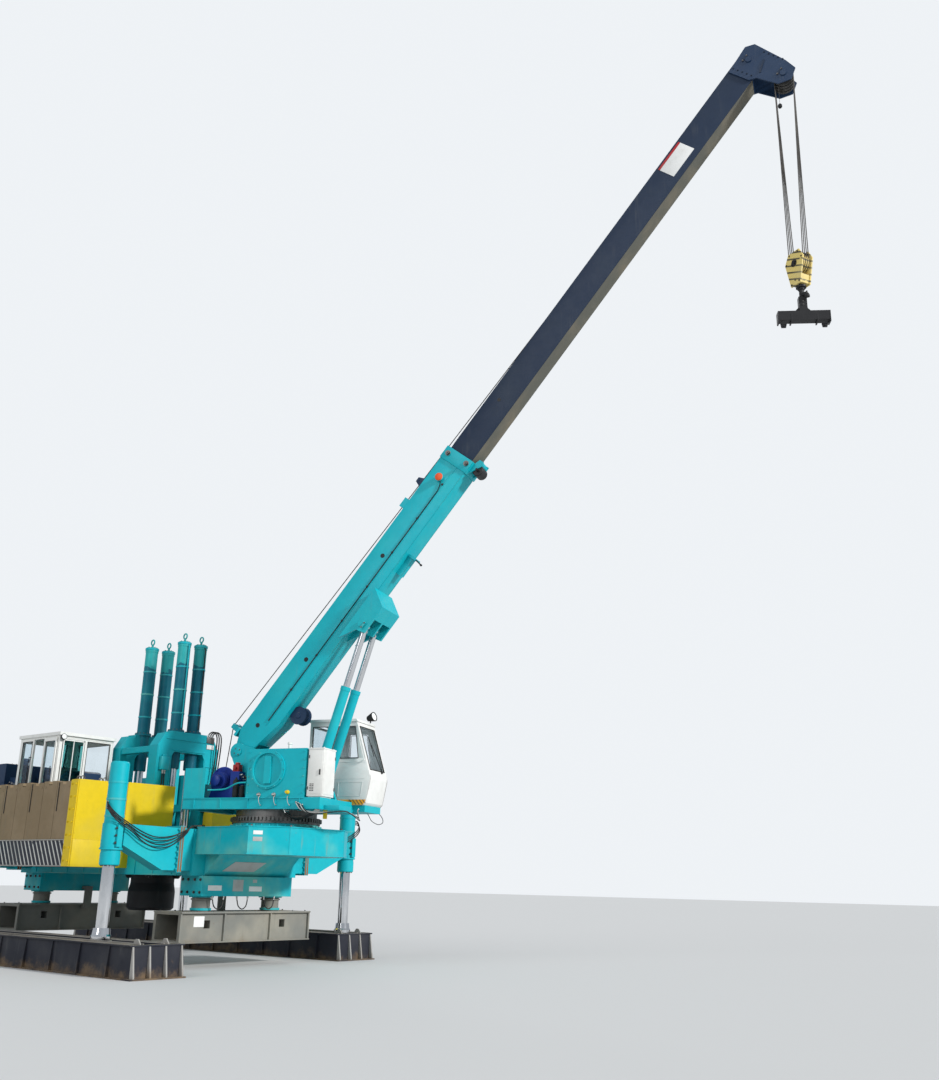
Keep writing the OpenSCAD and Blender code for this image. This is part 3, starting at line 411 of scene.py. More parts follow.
FINISHES = (
    Paint("teal_paint", TEAL, TEAL_FADED),
    Paint("teal_worn", TEAL, (0.16, 0.5, 0.42), fade=0.8, rust=0.9, streaks=0.7, dust=0.6),
    # painted shade: the teal darkened to how it looks in shade, a shaded copy of teal_paint
    Paint("teal_in_shade", (0.003, 0.15, 0.19), (0.01, 0.2, 0.23), rust=0.2),
    Paint("navy_paint", NAVY, (0.03, 0.06, 0.12), rust=0.4, dust=0.4),
    Paint("white_paint", WHITE, (0.62, 0.61, 0.56), fade=0.35, rust=0.25, streaks=0.25, dust=0.3),
    Paint("yellow_paint", (0.74, 0.52, 0.008), (0.58, 0.44, 0.06), rust=0.8, streaks=0.4, dust=0.5),
    Paint(
        "slab_steel", (0.235, 0.175, 0.105), (0.29, 0.22, 0.14), rough=0.75, fade=0.9, rust=0.9, streaks=0.5, dust=0.6,
        coat=0.0,
    ),
    Paint(
        "shoe_black", (0.022, 0.024, 0.034), (0.06, 0.06, 0.065), rough=0.55, rust=0.5, streaks=0.5, dust=0.8,
        mud_top=0.12, coat=0.0,
    ),
    Paint(
        "shoe_edge", (0.34, 0.33, 0.31), (0.22, 0.19, 0.16), rough=0.6, rust=1.0, streaks=0.5, dust=0.6, mud_top=0.08,
        coat=0.0,
    ),
    Paint(
        "shoe_grey", (0.2, 0.2, 0.18), (0.3, 0.28, 0.23), rough=0.6, fade=0.9, rust=0.8, streaks=0.8, dust=0.7,
        mud_top=0.45, coat=0.0,
    ),
    Paint("orange_paint", (0.85, 0.1, 0.02), (0.7, 0.14, 0.05), rust=0.2),
    Paint("blue_paint", (0.01, 0.035, 0.3), (0.02, 0.06, 0.25), rough=0.3, dust=0.5),
    Paint("red_paint", (0.42, 0.02, 0.025), (0.35, 0.05, 0.04), rough=0.4, dust=0.4),
    Paint("black_paint", BLACK, (0.04, 0.04, 0.04), rough=0.45, dust=0.4),
    Metal("chrome_rod", (0.72, 0.73, 0.75), 0.08, dirt=0.25, turned=True),
    Metal("bright_steel", (0.55, 0.54, 0.52), 0.3, dirt=0.4),
    Metal("greasy_steel", (0.16, 0.155, 0.15), 0.45, dirt=0.7),
    Plain("hose_rubber", (0.014, 0.014, 0.015), 0.5),
    Plain("grey_hose", (0.42, 0.42, 0.4), 0.5, mottle=0.4, other=(0.2, 0.19, 0.18)),
    Plain("wire_rope", (0.06, 0.055, 0.05), 0.55, mottle=0.5, grain=200.0),
    Plain("seat_fabric", (0.03, 0.032, 0.036), 0.85, grain=160.0),
    Plain("lamp_glass", (0.8, 0.82, 0.8), 0.15, mottle=0.1),
    Plain("blank_plate", (0.8, 0.8, 0.78), 0.45, mottle=0.25, other=(0.5, 0.48, 0.43)),
    Plain("grey_plate", (0.42, 0.43, 0.42), 0.5, mottle=0.4, other=(0.3, 0.28, 0.25)),
    Pane("clear_glass", (0.8, 0.88, 0.92)),
    Pane("teal_glass", (0.2, 0.62, 0.56)),
    # painted shade: the barrels are dark teal as if in shade, and the band from 7.2 m up is the lit teal
    Banded(
        "press_barrel_shade", (0.003, 0.13, 0.19), TEAL_FADED, fade=0.25, bands=((7.2, 9.0, (0.03, 0.4, 0.4)),),
        ragged=0.5,
    ),
    Striped(
        "rack_paint", (0.025, 0.028, 0.04), (0.05, 0.05, 0.055), slope=(1, 0, 0.62), pitch=0.165, share=0.28,
        guard=(0, -1, 0), guard_from=3.04, guard_to=3.2, stripe=(0.62, 0.62, 0.58),
    ),
    Striped(
        "block_paint", (0.8, 0.62, 0.2), (0.7, 0.6, 0.32), slope=tuple(BLOCK.to_3x3() @ Vector((0.45, 0, 1))),
        pitch=0.17, share=0.25, stripe=(0.03, 0.03, 0.03),
    ),
    Paint("amber_paint", (0.8, 0.36, 0.03), (0.55, 0.3, 0.08), rust=0.5, dust=0.5),
    Striped(
        "cab_stripes", (0.8, 0.36, 0.03), (0.55, 0.3, 0.08), slope=tuple(CRANE.to_3x3() @ Vector((1, 0, 0.8))),
        pitch=0.085, share=0.3, stripe=(0.05, 0.04, 0.04),
    ),
    Paint("boom_graphite", (0.016, 0.03, 0.062), (0.03, 0.045, 0.07), rough=0.5, rust=0.3, dust=0.2),
    # painted light on the inner section's underside: lighter than its sides as if sunlit, over real wear
    Paint("underside_light_and_wear", (0.115, 0.115, 0.095), (0.2, 0.17, 0.12), rough=0.6, fade=0.8, rust=0.9, streaks=0.8, dust=0.4),
    Paint("rusty_edge", (0.26, 0.1, 0.03), (0.02, 0.3, 0.3), rough=0.7, fade=0.6, rust=1.0, coat=0.0),
)


class Finishes:
    """The finishes by name, each built once."""

    def __init__(self) -> None:
        """Starts with nothing built."""
        self.known = {f.name: f for f in FINISHES}
        self.built: dict[str, bpy.types.Material] = {}

    def get(self, name: str) -> bpy.types.Material:
        """The material of that name.

        Args:
            name: the finish's name.

        Returns:
            The material.
        """
        if name not in self.built:
            self.built[name] = self.known[name].make()
        return self.built[name]


PALETTE = Finishes()


# ---- making pieces ----

SMOOTH_UNDER = 35.0
GROWN_SMOOTH_UNDER = 40.0
BEVEL_STEPS = 2
BEVEL_SHAPE = 0.6
BEVEL_ROOM = 2.5


class Sketch:
    """Gathers the faces of one piece, drawn in metres in its body's frame or in one of its own."""

    def __init__(self, body: str | None = "chassis", place: Matrix | None = None) -> None:
        """Starts an empty piece on a body, or on none for a piece that runs between two.

        Args:
            body: the body that it rides on.
            place: the frame that it is drawn in.
        """
        self.body = body
        self.place = place or FRAMES.get(body, ROW)
        self.bm = bmesh.new()

    def _take(self, verts: Sequence[bmesh.types.BMVert], turn: Matrix) -> None:
        """Moves new vertices from a primitive's frame to the piece's."""
        bmesh.ops.transform(self.bm, matrix=turn, verts=list(verts))

    def soften(self, edges: Iterable[bmesh.types.BMEdge], bevel: float) -> None:
        """Rounds edges off.

        Args:
            edges: the edges.
            bevel: width of the rounding.
        """
        bmesh.ops.bevel(
            self.bm, geom=list(set(edges)), offset=bevel, segments=BEVEL_STEPS, affect="EDGES", profile=BEVEL_SHAPE
        )

    def block(self, one: Point, other: Point, bevel: float = 0.004) -> "Sketch":
        """A box with softened edges.

        Args:
            one: one of its corners.
            other: the opposite corner.
            bevel: width of the softened edges.

        Returns:
            The sketch.
        """
        low, high = zip(*map(sorted, zip(one, other)))
        size = [b - a for a, b in zip(low, high)]
        made = bmesh.ops.create_cube(self.bm, size=1.0)["verts"]
        middle = [(a + b) / 2 for a, b in zip(low, high)]
        self._take(made, Matrix.Translation(middle) @ Matrix.Diagonal((*size, 1.0)))
        if bevel and min(size) > BEVEL_ROOM * bevel:
            self.soften((e for v in made for e in v.link_edges), bevel)
        return self

    def outline(
        self, points: Sequence[Pair], one: float, other: float, bevel: float = 0.003, facing: Facing = Facing.XZ
    ) -> "Sketch":
        """An outline drawn out between two planes.

        Args:
            points: its corners.
            one: one of the planes, on the third axis.
            other: the other plane.
            bevel: width of the softened edges.
            facing: the plane that the corners are in.

        Returns:
            The sketch.
        """
        a, b, c = facing.value
        low, high = sorted((one, other))

        def corner(p: Pair, h: float) -> Vector:
            """A corner in three dimensions.

            Args:
                p: its place in the two directions of the outline.
                h: its place in the third.

            Returns:
                The corner.
            """
            v = [0.0, 0.0, 0.0]
            v[a], v[b], v[c] = p[0], p[1], h
            return Vector(v)

        lower = [self.bm.verts.new(corner(p, low)) for p in points]
        upper = [self.bm.verts.new(corner(p, high)) for p in points]
        faces = [self.bm.faces.new(lower), self.bm.faces.new(upper[::-1])]
        for i in range(len(points)):
            j = (i + 1) % len(points)
            faces.append(self.bm.faces.new((lower[j], lower[i], upper[i], upper[j])))
        bmesh.ops.recalc_face_normals(self.bm, faces=faces)
        if bevel and high - low > BEVEL_ROOM * bevel:
            self.soften((e for f in faces for e in f.edges), bevel)
        return self

    def turned(self, profile: Sequence[Pair], at: Point, axis: Point = UP, sides: int = 32) -> "Sketch":
        """A profile of (radius, height) pairs turned about an axis; one that ends where it starts makes a hoop.

        Args:
            profile: from one end of the axis to the other.
            at: where its height is zero.
            axis: the direction that it is turned about.
            sides: faces round it.

        Returns:
            The sketch.
        """
        turn = Matrix.Translation(at) @ Vector(axis).to_track_quat("Z", "Y").to_matrix().to_4x4()
        rings: list[list[bmesh.types.BMVert]] = []
        closed = profile[0] == profile[-1]
        for r, h in profile[:-1] if closed else profile:
            count = 1 if r < 1e-6 else sides
            ring = []
            for i in range(count):
                t = 2 * math.pi * i / sides
                ring.append(self.bm.verts.new(turn @ Vector((r * math.cos(t), r * math.sin(t), h))))
            rings.append(ring)
        made: list[bmesh.types.BMFace] = []
        for one, two in zip(rings, [*rings[1:], rings[0]] if closed else rings[1:]):
            for i in range(sides):
                j = (i + 1) % sides
                corners = [one[i % len(one)], one[j % len(one)], two[j % len(two)], two[i % len(two)]]
                unique = list(dict.fromkeys(corners))
                if len(unique) > 2:
                    made.append(self.bm.faces.new(unique))
        for ring, flip in ((rings[0], True), (rings[-1], False)):
            if len(ring) > 2 and not closed:
                made.append(self.bm.faces.new(ring[::-1] if flip else ring))
        bmesh.ops.recalc_face_normals(self.bm, faces=made)
        return self

    def bar(self, a: Point, b: Point, r: float, sides: int = 20, cap: float = 0.003) -> "Sketch":
        """A round bar between two points, with chamfered ends.

        Args:
            a: one end.
            b: the other end.
            r: its radius.
            sides: faces round it.
            cap: size of the chamfers.

        Returns:
            The sketch.
        """
        d = Vector(b) - Vector(a)
        return self.turned(
            [(r - cap, 0), (r, cap), (r, d.length - cap), (r - cap, d.length)], a, tuple(d.normalized()), sides
        )

    def tube(self, points: Sequence[Point], r: float, sides: int = 10) -> "Sketch":
        """A pipe or hose along points, in one smooth run.

        Args:
            points: what it passes through.
            r: its radius.
            sides: faces round it.

        Returns:
            The sketch.
        """
        path = [Vector(p) for p in points]
        rings = []
        side = None
        for i, p in enumerate(path):
            ahead = (path[min(i + 1, len(path) - 1)] - path[max(i - 1, 0)]).normalized()
            if side is None:
                side = ahead.orthogonal().normalized()
            side = (side - ahead * side.dot(ahead)).normalized()
            other = ahead.cross(side)
            rings.append(
                [
                    self.bm.verts.new(p + r * (math.cos(t) * side + math.sin(t) * other))
                    for t in (2 * math.pi * k / sides for k in range(sides))
                ],
            )
        for one, two in zip(rings, rings[1:]):
            for k in range(sides):
                m = (k + 1) % sides
                self.bm.faces.new((one[k], one[m], two[m], two[k]))
        self.bm.faces.new(rings[0][::-1])
        self.bm.faces.new(rings[-1])
        return self

    def ring(self, at: Point, axis: Point, big: float, small: float, sides: int = 24, thick: int = 8) -> "Sketch":
        """A round eye or torus.

        Args:
            at: its middle.
            axis: the direction of its axis.
            big: radius to the middle of its bar.
            small: its bar's radius.
            sides: faces round it.
            thick: faces round its bar.

        Returns:
            The sketch.
        """
        turn = Matrix.Translation(at) @ Vector(axis).to_track_quat("Z", "Y").to_matrix().to_4x4()
        rows = []
        for i in range(sides):
            t = 2 * math.pi * i / sides
            row = []
            for k in range(thick):
                u = 2 * math.pi * k / thick
                r = big + small * math.cos(u)
                row.append(self.bm.verts.new(turn @ Vector((r * math.cos(t), r * math.sin(t), small * math.sin(u)))))
            rows.append(row)
        for i in range(sides):
            for k in range(thick):
                one, two, m = rows[i], rows[(i + 1) % sides], (k + 1) % thick
                self.bm.faces.new((one[k], two[k], two[m], one[m]))
        return self

    def piece(self, name: str, finish: str, slot: str | None = None) -> bpy.types.Object:
        """Ends the sketch as an object that rides on its body.

        Args:
            name: the piece's name.
            finish: its finish.
            slot: not used.

        Returns:
            The object.
        """
        self._take(self.bm.verts, self.place)
        mesh = bpy.data.meshes.new(name)
        self.bm.to_mesh(mesh)
        self.bm.free()
        obj = bpy.data.objects.new(name, mesh)
        bpy.context.scene.collection.objects.link(obj)
        mesh.materials.append(PALETTE.get(finish))
        shade(mesh, SMOOTH_UNDER)
        body = self.body
        if body:
            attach(obj, body)
        LOG.info("%s on %s, %d faces", name, body, len(mesh.polygons))
        return obj


def shade(mesh: bpy.types.Mesh, angle: float) -> None:
    """Shades a mesh smooth but for edges sharper than an angle in degrees."""
    mesh.polygons.foreach_set("use_smooth", [True] * len(mesh.polygons))
    mesh.set_sharp_from_angle(angle=math.radians(angle))


def spline(points: Sequence[Point], steps: int = 10) -> list[Point]:
    """A smooth run through points.

    Args:
        points: what the run passes through.
        steps: points on each stretch.

    Returns:
        The run's own points.
    """
    p = [Vector(q) for q in points]
    p = [2 * p[0] - p[1], *p, 2 * p[-1] - p[-2]]
    out = []
    for i in range(1, len(p) - 2):
        for k in range(steps):
            t = k / steps
            a, b, c, d = p[i - 1 : i + 3]
            out.append(
                tuple(0.5 * (2 * b + (c - a) * t + (2 * a - 5 * b + 4 * c - d) * t**2 + (3 * b - a - 3 * c + d) * t**3))
            )
    out.append(tuple(p[-2]))
    return out


# ---- what repeats ----

# a bolt's washer, head and end: sides, then radius, depth and lift as shares of the width over the flats
BOLT_DISCS = ((14, 0.68, 0.12, 0.06), (6, 0.5, 0.55, 0.3), (8, 0.24, 0.3, 0.62))
THIN_PIPE = 0.02
THIN_SIDES = 8
THICK_SIDES = 12


@dataclass(frozen=True)
class Spot:
    """Where a bolt sits and which way its head points, in the machine's frame."""

    at: Vector
    axis: Vector


def row(a: Point, b: Point, count: int, axis: Point) -> list[tuple[Point, Point]]:
    """Evenly spaced places from a to b, all facing along one axis."""
    start, step = Vector(a), (Vector(b) - Vector(a)) / max(count - 1, 1)
    return [(tuple(start + step * i), axis) for i in range(count)]


def ring(at: Point, axis: Point, r: float, count: int, phase: float = 0.0) -> list[tuple[Point, Point]]:
    """Places around a circle, all facing along its axis.

    Args:
        at: its middle.
        axis: the direction of its axis.
        r: the circle's radius.
        count: how many places.
        phase: angle of the first one.

    Returns:
        The places, each with its direction.
    """
    turn = Vector(axis).to_track_quat("Z", "Y")
    angles = (phase + 2 * math.pi * i / count for i in range(count))
    return [(tuple(Vector(at) + turn @ Vector((r * math.cos(t), r * math.sin(t), 0))), axis) for t in angles]


class Grower:
    """Geometry Nodes trees that turn points into bolts or slats, and runs into pipes."""

    def __init__(self) -> None:
        """Builds the trees."""
        self.trees = {"bolts": self.bolt_tree(), "slats": self.slat_tree(), "pipes": self.pipe_tree()}

    @staticmethod
    def start(name: str, inputs: dict[str, tuple[str, object]]) -> tuple[bpy.types.NodeTree, bpy.types.Node]:
        """An empty tree with a geometry input, other named inputs and a material input.

        Args:
            name: the name.
            inputs: the other inputs by name, each with its kind and its value.

        Returns:
            The tree and its input node.
        """
        tree = bpy.data.node_groups.new(name, "GeometryNodeTree")
        tree.interface.new_socket("Geometry", in_out="INPUT", socket_type="NodeSocketGeometry")
        for key, (kind, value) in inputs.items():
            tree.interface.new_socket(key, in_out="INPUT", socket_type=kind).default_value = value
        tree.interface.new_socket("Material", in_out="INPUT", socket_type="NodeSocketMaterial")
        tree.interface.new_socket("Geometry", in_out="OUTPUT", socket_type="NodeSocketGeometry")
        return tree, tree.nodes.new("NodeGroupInput")

    @staticmethod
    def end(tree: bpy.types.NodeTree, given: bpy.types.Node, shape: Socket) -> bpy.types.NodeTree:
        """Realizes the instances, sets the material and links the output.

        Args:
            tree: the tree.
            given: the tree's input node.
            shape: the geometry.

        Returns:
            The tree.
        """
        real = wired(tree, "GeometryNodeRealizeInstances", {0: shape})
        feeds = {"Geometry": real.outputs[0], "Material": given.outputs["Material"]}
        wired(tree, "NodeGroupOutput", {0: wired(tree, "GeometryNodeSetMaterial", feeds).outputs[0]})
        return tree

    @staticmethod
    def scaled(tree: bpy.types.NodeTree, value: Socket, factor: float) -> Socket:
        """A socket's value times a number."""
        return wired(tree, "ShaderNodeMath", {0: value, 1: factor}, operation="MULTIPLY").outputs[0]

    def bolt_tree(self) -> bpy.types.NodeTree:
        """Hexagon heads on round washers, each facing along its point's axis attribute.

        Returns:
            The tree.
        """
        tree, given = self.start("bolts", {"Across": ("NodeSocketFloat", 0.03)})
        join = tree.nodes.new("GeometryNodeJoinGeometry")
        for sides, *shares in BOLT_DISCS:
            wide, tall, lift = (self.scaled(tree, given.outputs["Across"], share) for share in shares)
            disc = wired(tree, "GeometryNodeMeshCylinder", {"Vertices": sides, "Radius": wide, "Depth": tall})
            shift = wired(tree, "ShaderNodeCombineXYZ", {2: lift})
            feeds = {"Geometry": disc.outputs["Mesh"], "Translation": shift.outputs[0]}
            tree.links.new(wired(tree, "GeometryNodeTransform", feeds).outputs[0], join.inputs[0])
        return self.end(tree, given, self.placed(tree, given, join.outputs[0], "axis"))

    def slat_tree(self) -> bpy.types.NodeTree:
        """Bars of one size, each turned by its point's turn attribute.

        Returns:
            The tree.
        """
        tree, given = self.start("slats", {"Size": ("NodeSocketVector", (0.1, 0.1, 0.1))})
        bar = wired(tree, "GeometryNodeMeshCube", {"Size": given.outputs["Size"]})
        return self.end(tree, given, self.placed(tree, given, bar.outputs["Mesh"], "turn"))

    def placed(self, tree: bpy.types.NodeTree, given: bpy.types.Node, shape: Socket, how: str) -> Socket:
        """Instances a shape on the input's points, turned by an attribute.

        Args:
            tree: the tree.
            given: the tree's input node.
            shape: the geometry.
            how: the name of the attribute.

        Returns:
            The instances.
        """
        read = wired(tree, "GeometryNodeInputNamedAttribute", {"Name": how}, data_type="FLOAT_VECTOR").outputs[0]
        if how == "axis":
            turn = wired(tree, "FunctionNodeAlignRotationToVector", {"Vector": read}, axis="Z")
        else:
            turn = wired(tree, "FunctionNodeEulerToRotation", {0: read})
        spots = wired(tree, "GeometryNodeMeshToPoints", {0: given.outputs["Geometry"]}).outputs[0]
        feeds = {"Points": spots, "Instance": shape, "Rotation": turn.outputs[0]}
        return wired(tree, "GeometryNodeInstanceOnPoints", feeds).outputs[0]

    def pipe_tree(self) -> bpy.types.NodeTree:
        """Round pipes along the input's runs of edges.

        Returns:
            The tree.
        """
        tree, given = self.start("pipes", {"Radius": ("NodeSocketFloat", 0.01), "Sides": ("NodeSocketInt", 8)})
        curve = wired(tree, "GeometryNodeMeshToCurve", {0: given.outputs["Geometry"]}).outputs[0]
        feeds = {"Radius": given.outputs["Radius"], "Resolution": given.outputs["Sides"]}
        circle = wired(tree, "GeometryNodeCurvePrimitiveCircle", feeds).outputs[0]
        sweep = wired(tree, "GeometryNodeCurveToMesh", {"Curve": curve, "Profile Curve": circle, "Fill Caps": True})
        return self.end(tree, given, sweep.outputs[0])

    def grow(
        self, name: str, body: str, kind: str, mesh: bpy.types.Mesh, finish: str, **values: object
    ) -> bpy.types.Object:
        """Runs a tree on a mesh and keeps the result as a plain piece.

        Args:
            name: the piece's name.
            body: the body that it rides on.
            kind: which tree.
            mesh: the points or runs that it starts from.
            finish: the piece's finish.
            values: the tree's inputs by name.

        Returns:
            The piece.
        """
        obj = bpy.data.objects.new(name, mesh)
        bpy.context.scene.collection.objects.link(obj)
        modifier = obj.modifiers.new(kind, "NODES")
        modifier.node_group = self.trees[kind]
        values["Material"] = PALETTE.get(finish)
        for item in self.trees[kind].interface.items_tree:
            if item.in_out == "INPUT" and item.name in values:
                modifier[item.identifier] = values[item.name]
        made = bpy.data.meshes.new_from_object(obj.evaluated_get(bpy.context.evaluated_depsgraph_get()))
        obj.modifiers.clear()
        obj.data = made
        shade(made, GROWN_SMOOTH_UNDER)
        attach(obj, body)
        LOG.info("%s on %s, %d faces", name, body, len(made.polygons))
        return obj


@dataclass
class Fittings:
    """Collects bolts, slats and pipes from every sub-assembly, and grows one mesh of each kind for each body."""

    grower: Grower = field(default_factory=Grower)
    spots: dict[tuple[str, float, str], list[Spot]] = field(default_factory=dict)
    runs: dict[tuple[str, float, str], list[list[Vector]]] = field(default_factory=dict)

    def bolt(
        self, body: str, places: Places, across: float = 0.04, finish: str = "greasy_steel", place: Matrix | None = None
    ) -> None:
        """Adds bolts given in a frame, which is the body's own unless another is named.

        Args:
            body: the body that they ride on.
            places: where each sits and which way it faces.
            across: width over a head's flats.
            finish: their finish.
            place: the frame.
        """
        place = place or FRAMES.get(body, ROW)
        turn = place.to_3x3()
        spots = self.spots.setdefault((body, across, finish), [])
        spots.extend(Spot(place @ Vector(p), turn @ Vector(a)) for p, a in places)

    def pipe(
        self, body: str, points: Sequence[Point], r: float, finish: str = "hose_rubber", place: Matrix | None = None
    ) -> None:
        """Adds a pipe's run given in a frame, which is the body's own unless another is named."""
        place = place or FRAMES.get(body, ROW)
        self.runs.setdefault((body, r, finish), []).append([place @ Vector(p) for p in points])

    def slats(
        self, name: str, body: str, points: Sequence[Point], size: Point, finish: str, tilt: Point = (0, 0, 0)
    ) -> None:
        """Makes a set of like bars at once, turned by a tilt in their body's frame.

        Args:
            name: the name.
            body: the body that it rides on.
            points: the bars' middles.
            size: a bar's size.
            finish: the finish.
            tilt: how they are turned.
        """
        place = FRAMES.get(body, ROW)
        mesh = bpy.data.meshes.new(name)
        mesh.from_pydata([place @ Vector(p) for p in points], [], [])
        turn = (place.to_3x3() @ Euler(tilt).to_matrix()).to_euler()
        mesh.attributes.new("turn", "FLOAT_VECTOR", "POINT").data.foreach_set(
            "vector", [c for _ in points for c in turn]
        )
        self.grower.grow(name, body, "slats", mesh, finish, Size=size)

    def build(self) -> None:
        """Grows what was collected."""
        for i, ((body, across, finish), spots) in enumerate(sorted(self.spots.items(), key=lambda s: s[0])):
            mesh = bpy.data.meshes.new("spots")
            mesh.from_pydata([s.at for s in spots], [], [])
            mesh.attributes.new("axis", "FLOAT_VECTOR", "POINT").data.foreach_set(
                "vector", [c for s in spots for c in s.axis]
            )
            self.grower.grow(f"{body}_bolts_{i}", body, "bolts", mesh, finish, Across=across)
        for i, ((body, r, finish), runs) in enumerate(sorted(self.runs.items(), key=lambda s: s[0])):
            mesh = bpy.data.meshes.new("runs")
            points, edges = [], []
            for run in runs:
                edges += [(len(points) + k, len(points) + k + 1) for k in range(len(run) - 1)]
                points += run
            mesh.from_pydata(points, edges, [])
            self.grower.grow(
                f"{body}_pipes_{i}", body, "pipes", mesh, finish, Radius=r,
                Sides=THIN_SIDES if r < THIN_PIPE else THICK_SIDES,
            )


def hose(name: str, body: str, points: Sequence[Point], d: float, steps: int = 6, finish: str = "hose_rubber") -> None:
    """A free hose between two fittings of one body.

    Args:
        name: the piece's name.
        body: the body that it rides on.
        points: what it passes through, in its body's frame.
        d: its diameter.
        steps: points on each stretch.
        finish: its finish.
    """
    path = [tuple(FRAMES.get(body, ROW) @ Vector(p)) for p in spline(points, steps)]
    tube = Sketch(body, ROW).tube(path, d / 2).piece(name, finish)
    ends = Sketch(body, ROW)
    for a, b in ((path[0], path[1]), (path[-1], path[-2])):
        way = (Vector(b) - Vector(a)).normalized()
        ends.turned(
            [(d * 0.85, -d * 0.5), (d * 0.85, d * 0.8), (d * 0.68, d * 1.0), (d * 0.68, d * 2.4)], a, tuple(way), 12
        )
    fitted = ends.piece(name + "_ends", "bright_steel")


def straight(a: Vector, b: Vector, steps: int) -> list[Point]:
    """A straight run from a to b."""
    return [tuple(a.lerp(b, i / steps)) for i in range(steps + 1)]


def corner_name(sx: int, sy: int) -> str:
    """Which of the machine's corners is meant."""
    return f"{'front' if sx > 0 else 'rear'}_{'left' if sy > 0 else 'right'}"


def loop(points: Sequence[Point]) -> list[Point]:
    """A closed run."""
    return [*points, *points[:2]]


def band(r: float, half: float) -> list[Pair]:
    """The closed profile of a hoop around a barrel.

    Args:
        r: the barrel's radius.
        half: half its height.

    Returns:
        The profile.
    """
    return [
        (r - 0.004, -half), (r + 0.009, -half + 0.002), (r + 0.009, half - 0.002), (r - 0.004, half), (r - 0.004, -half)
    ]


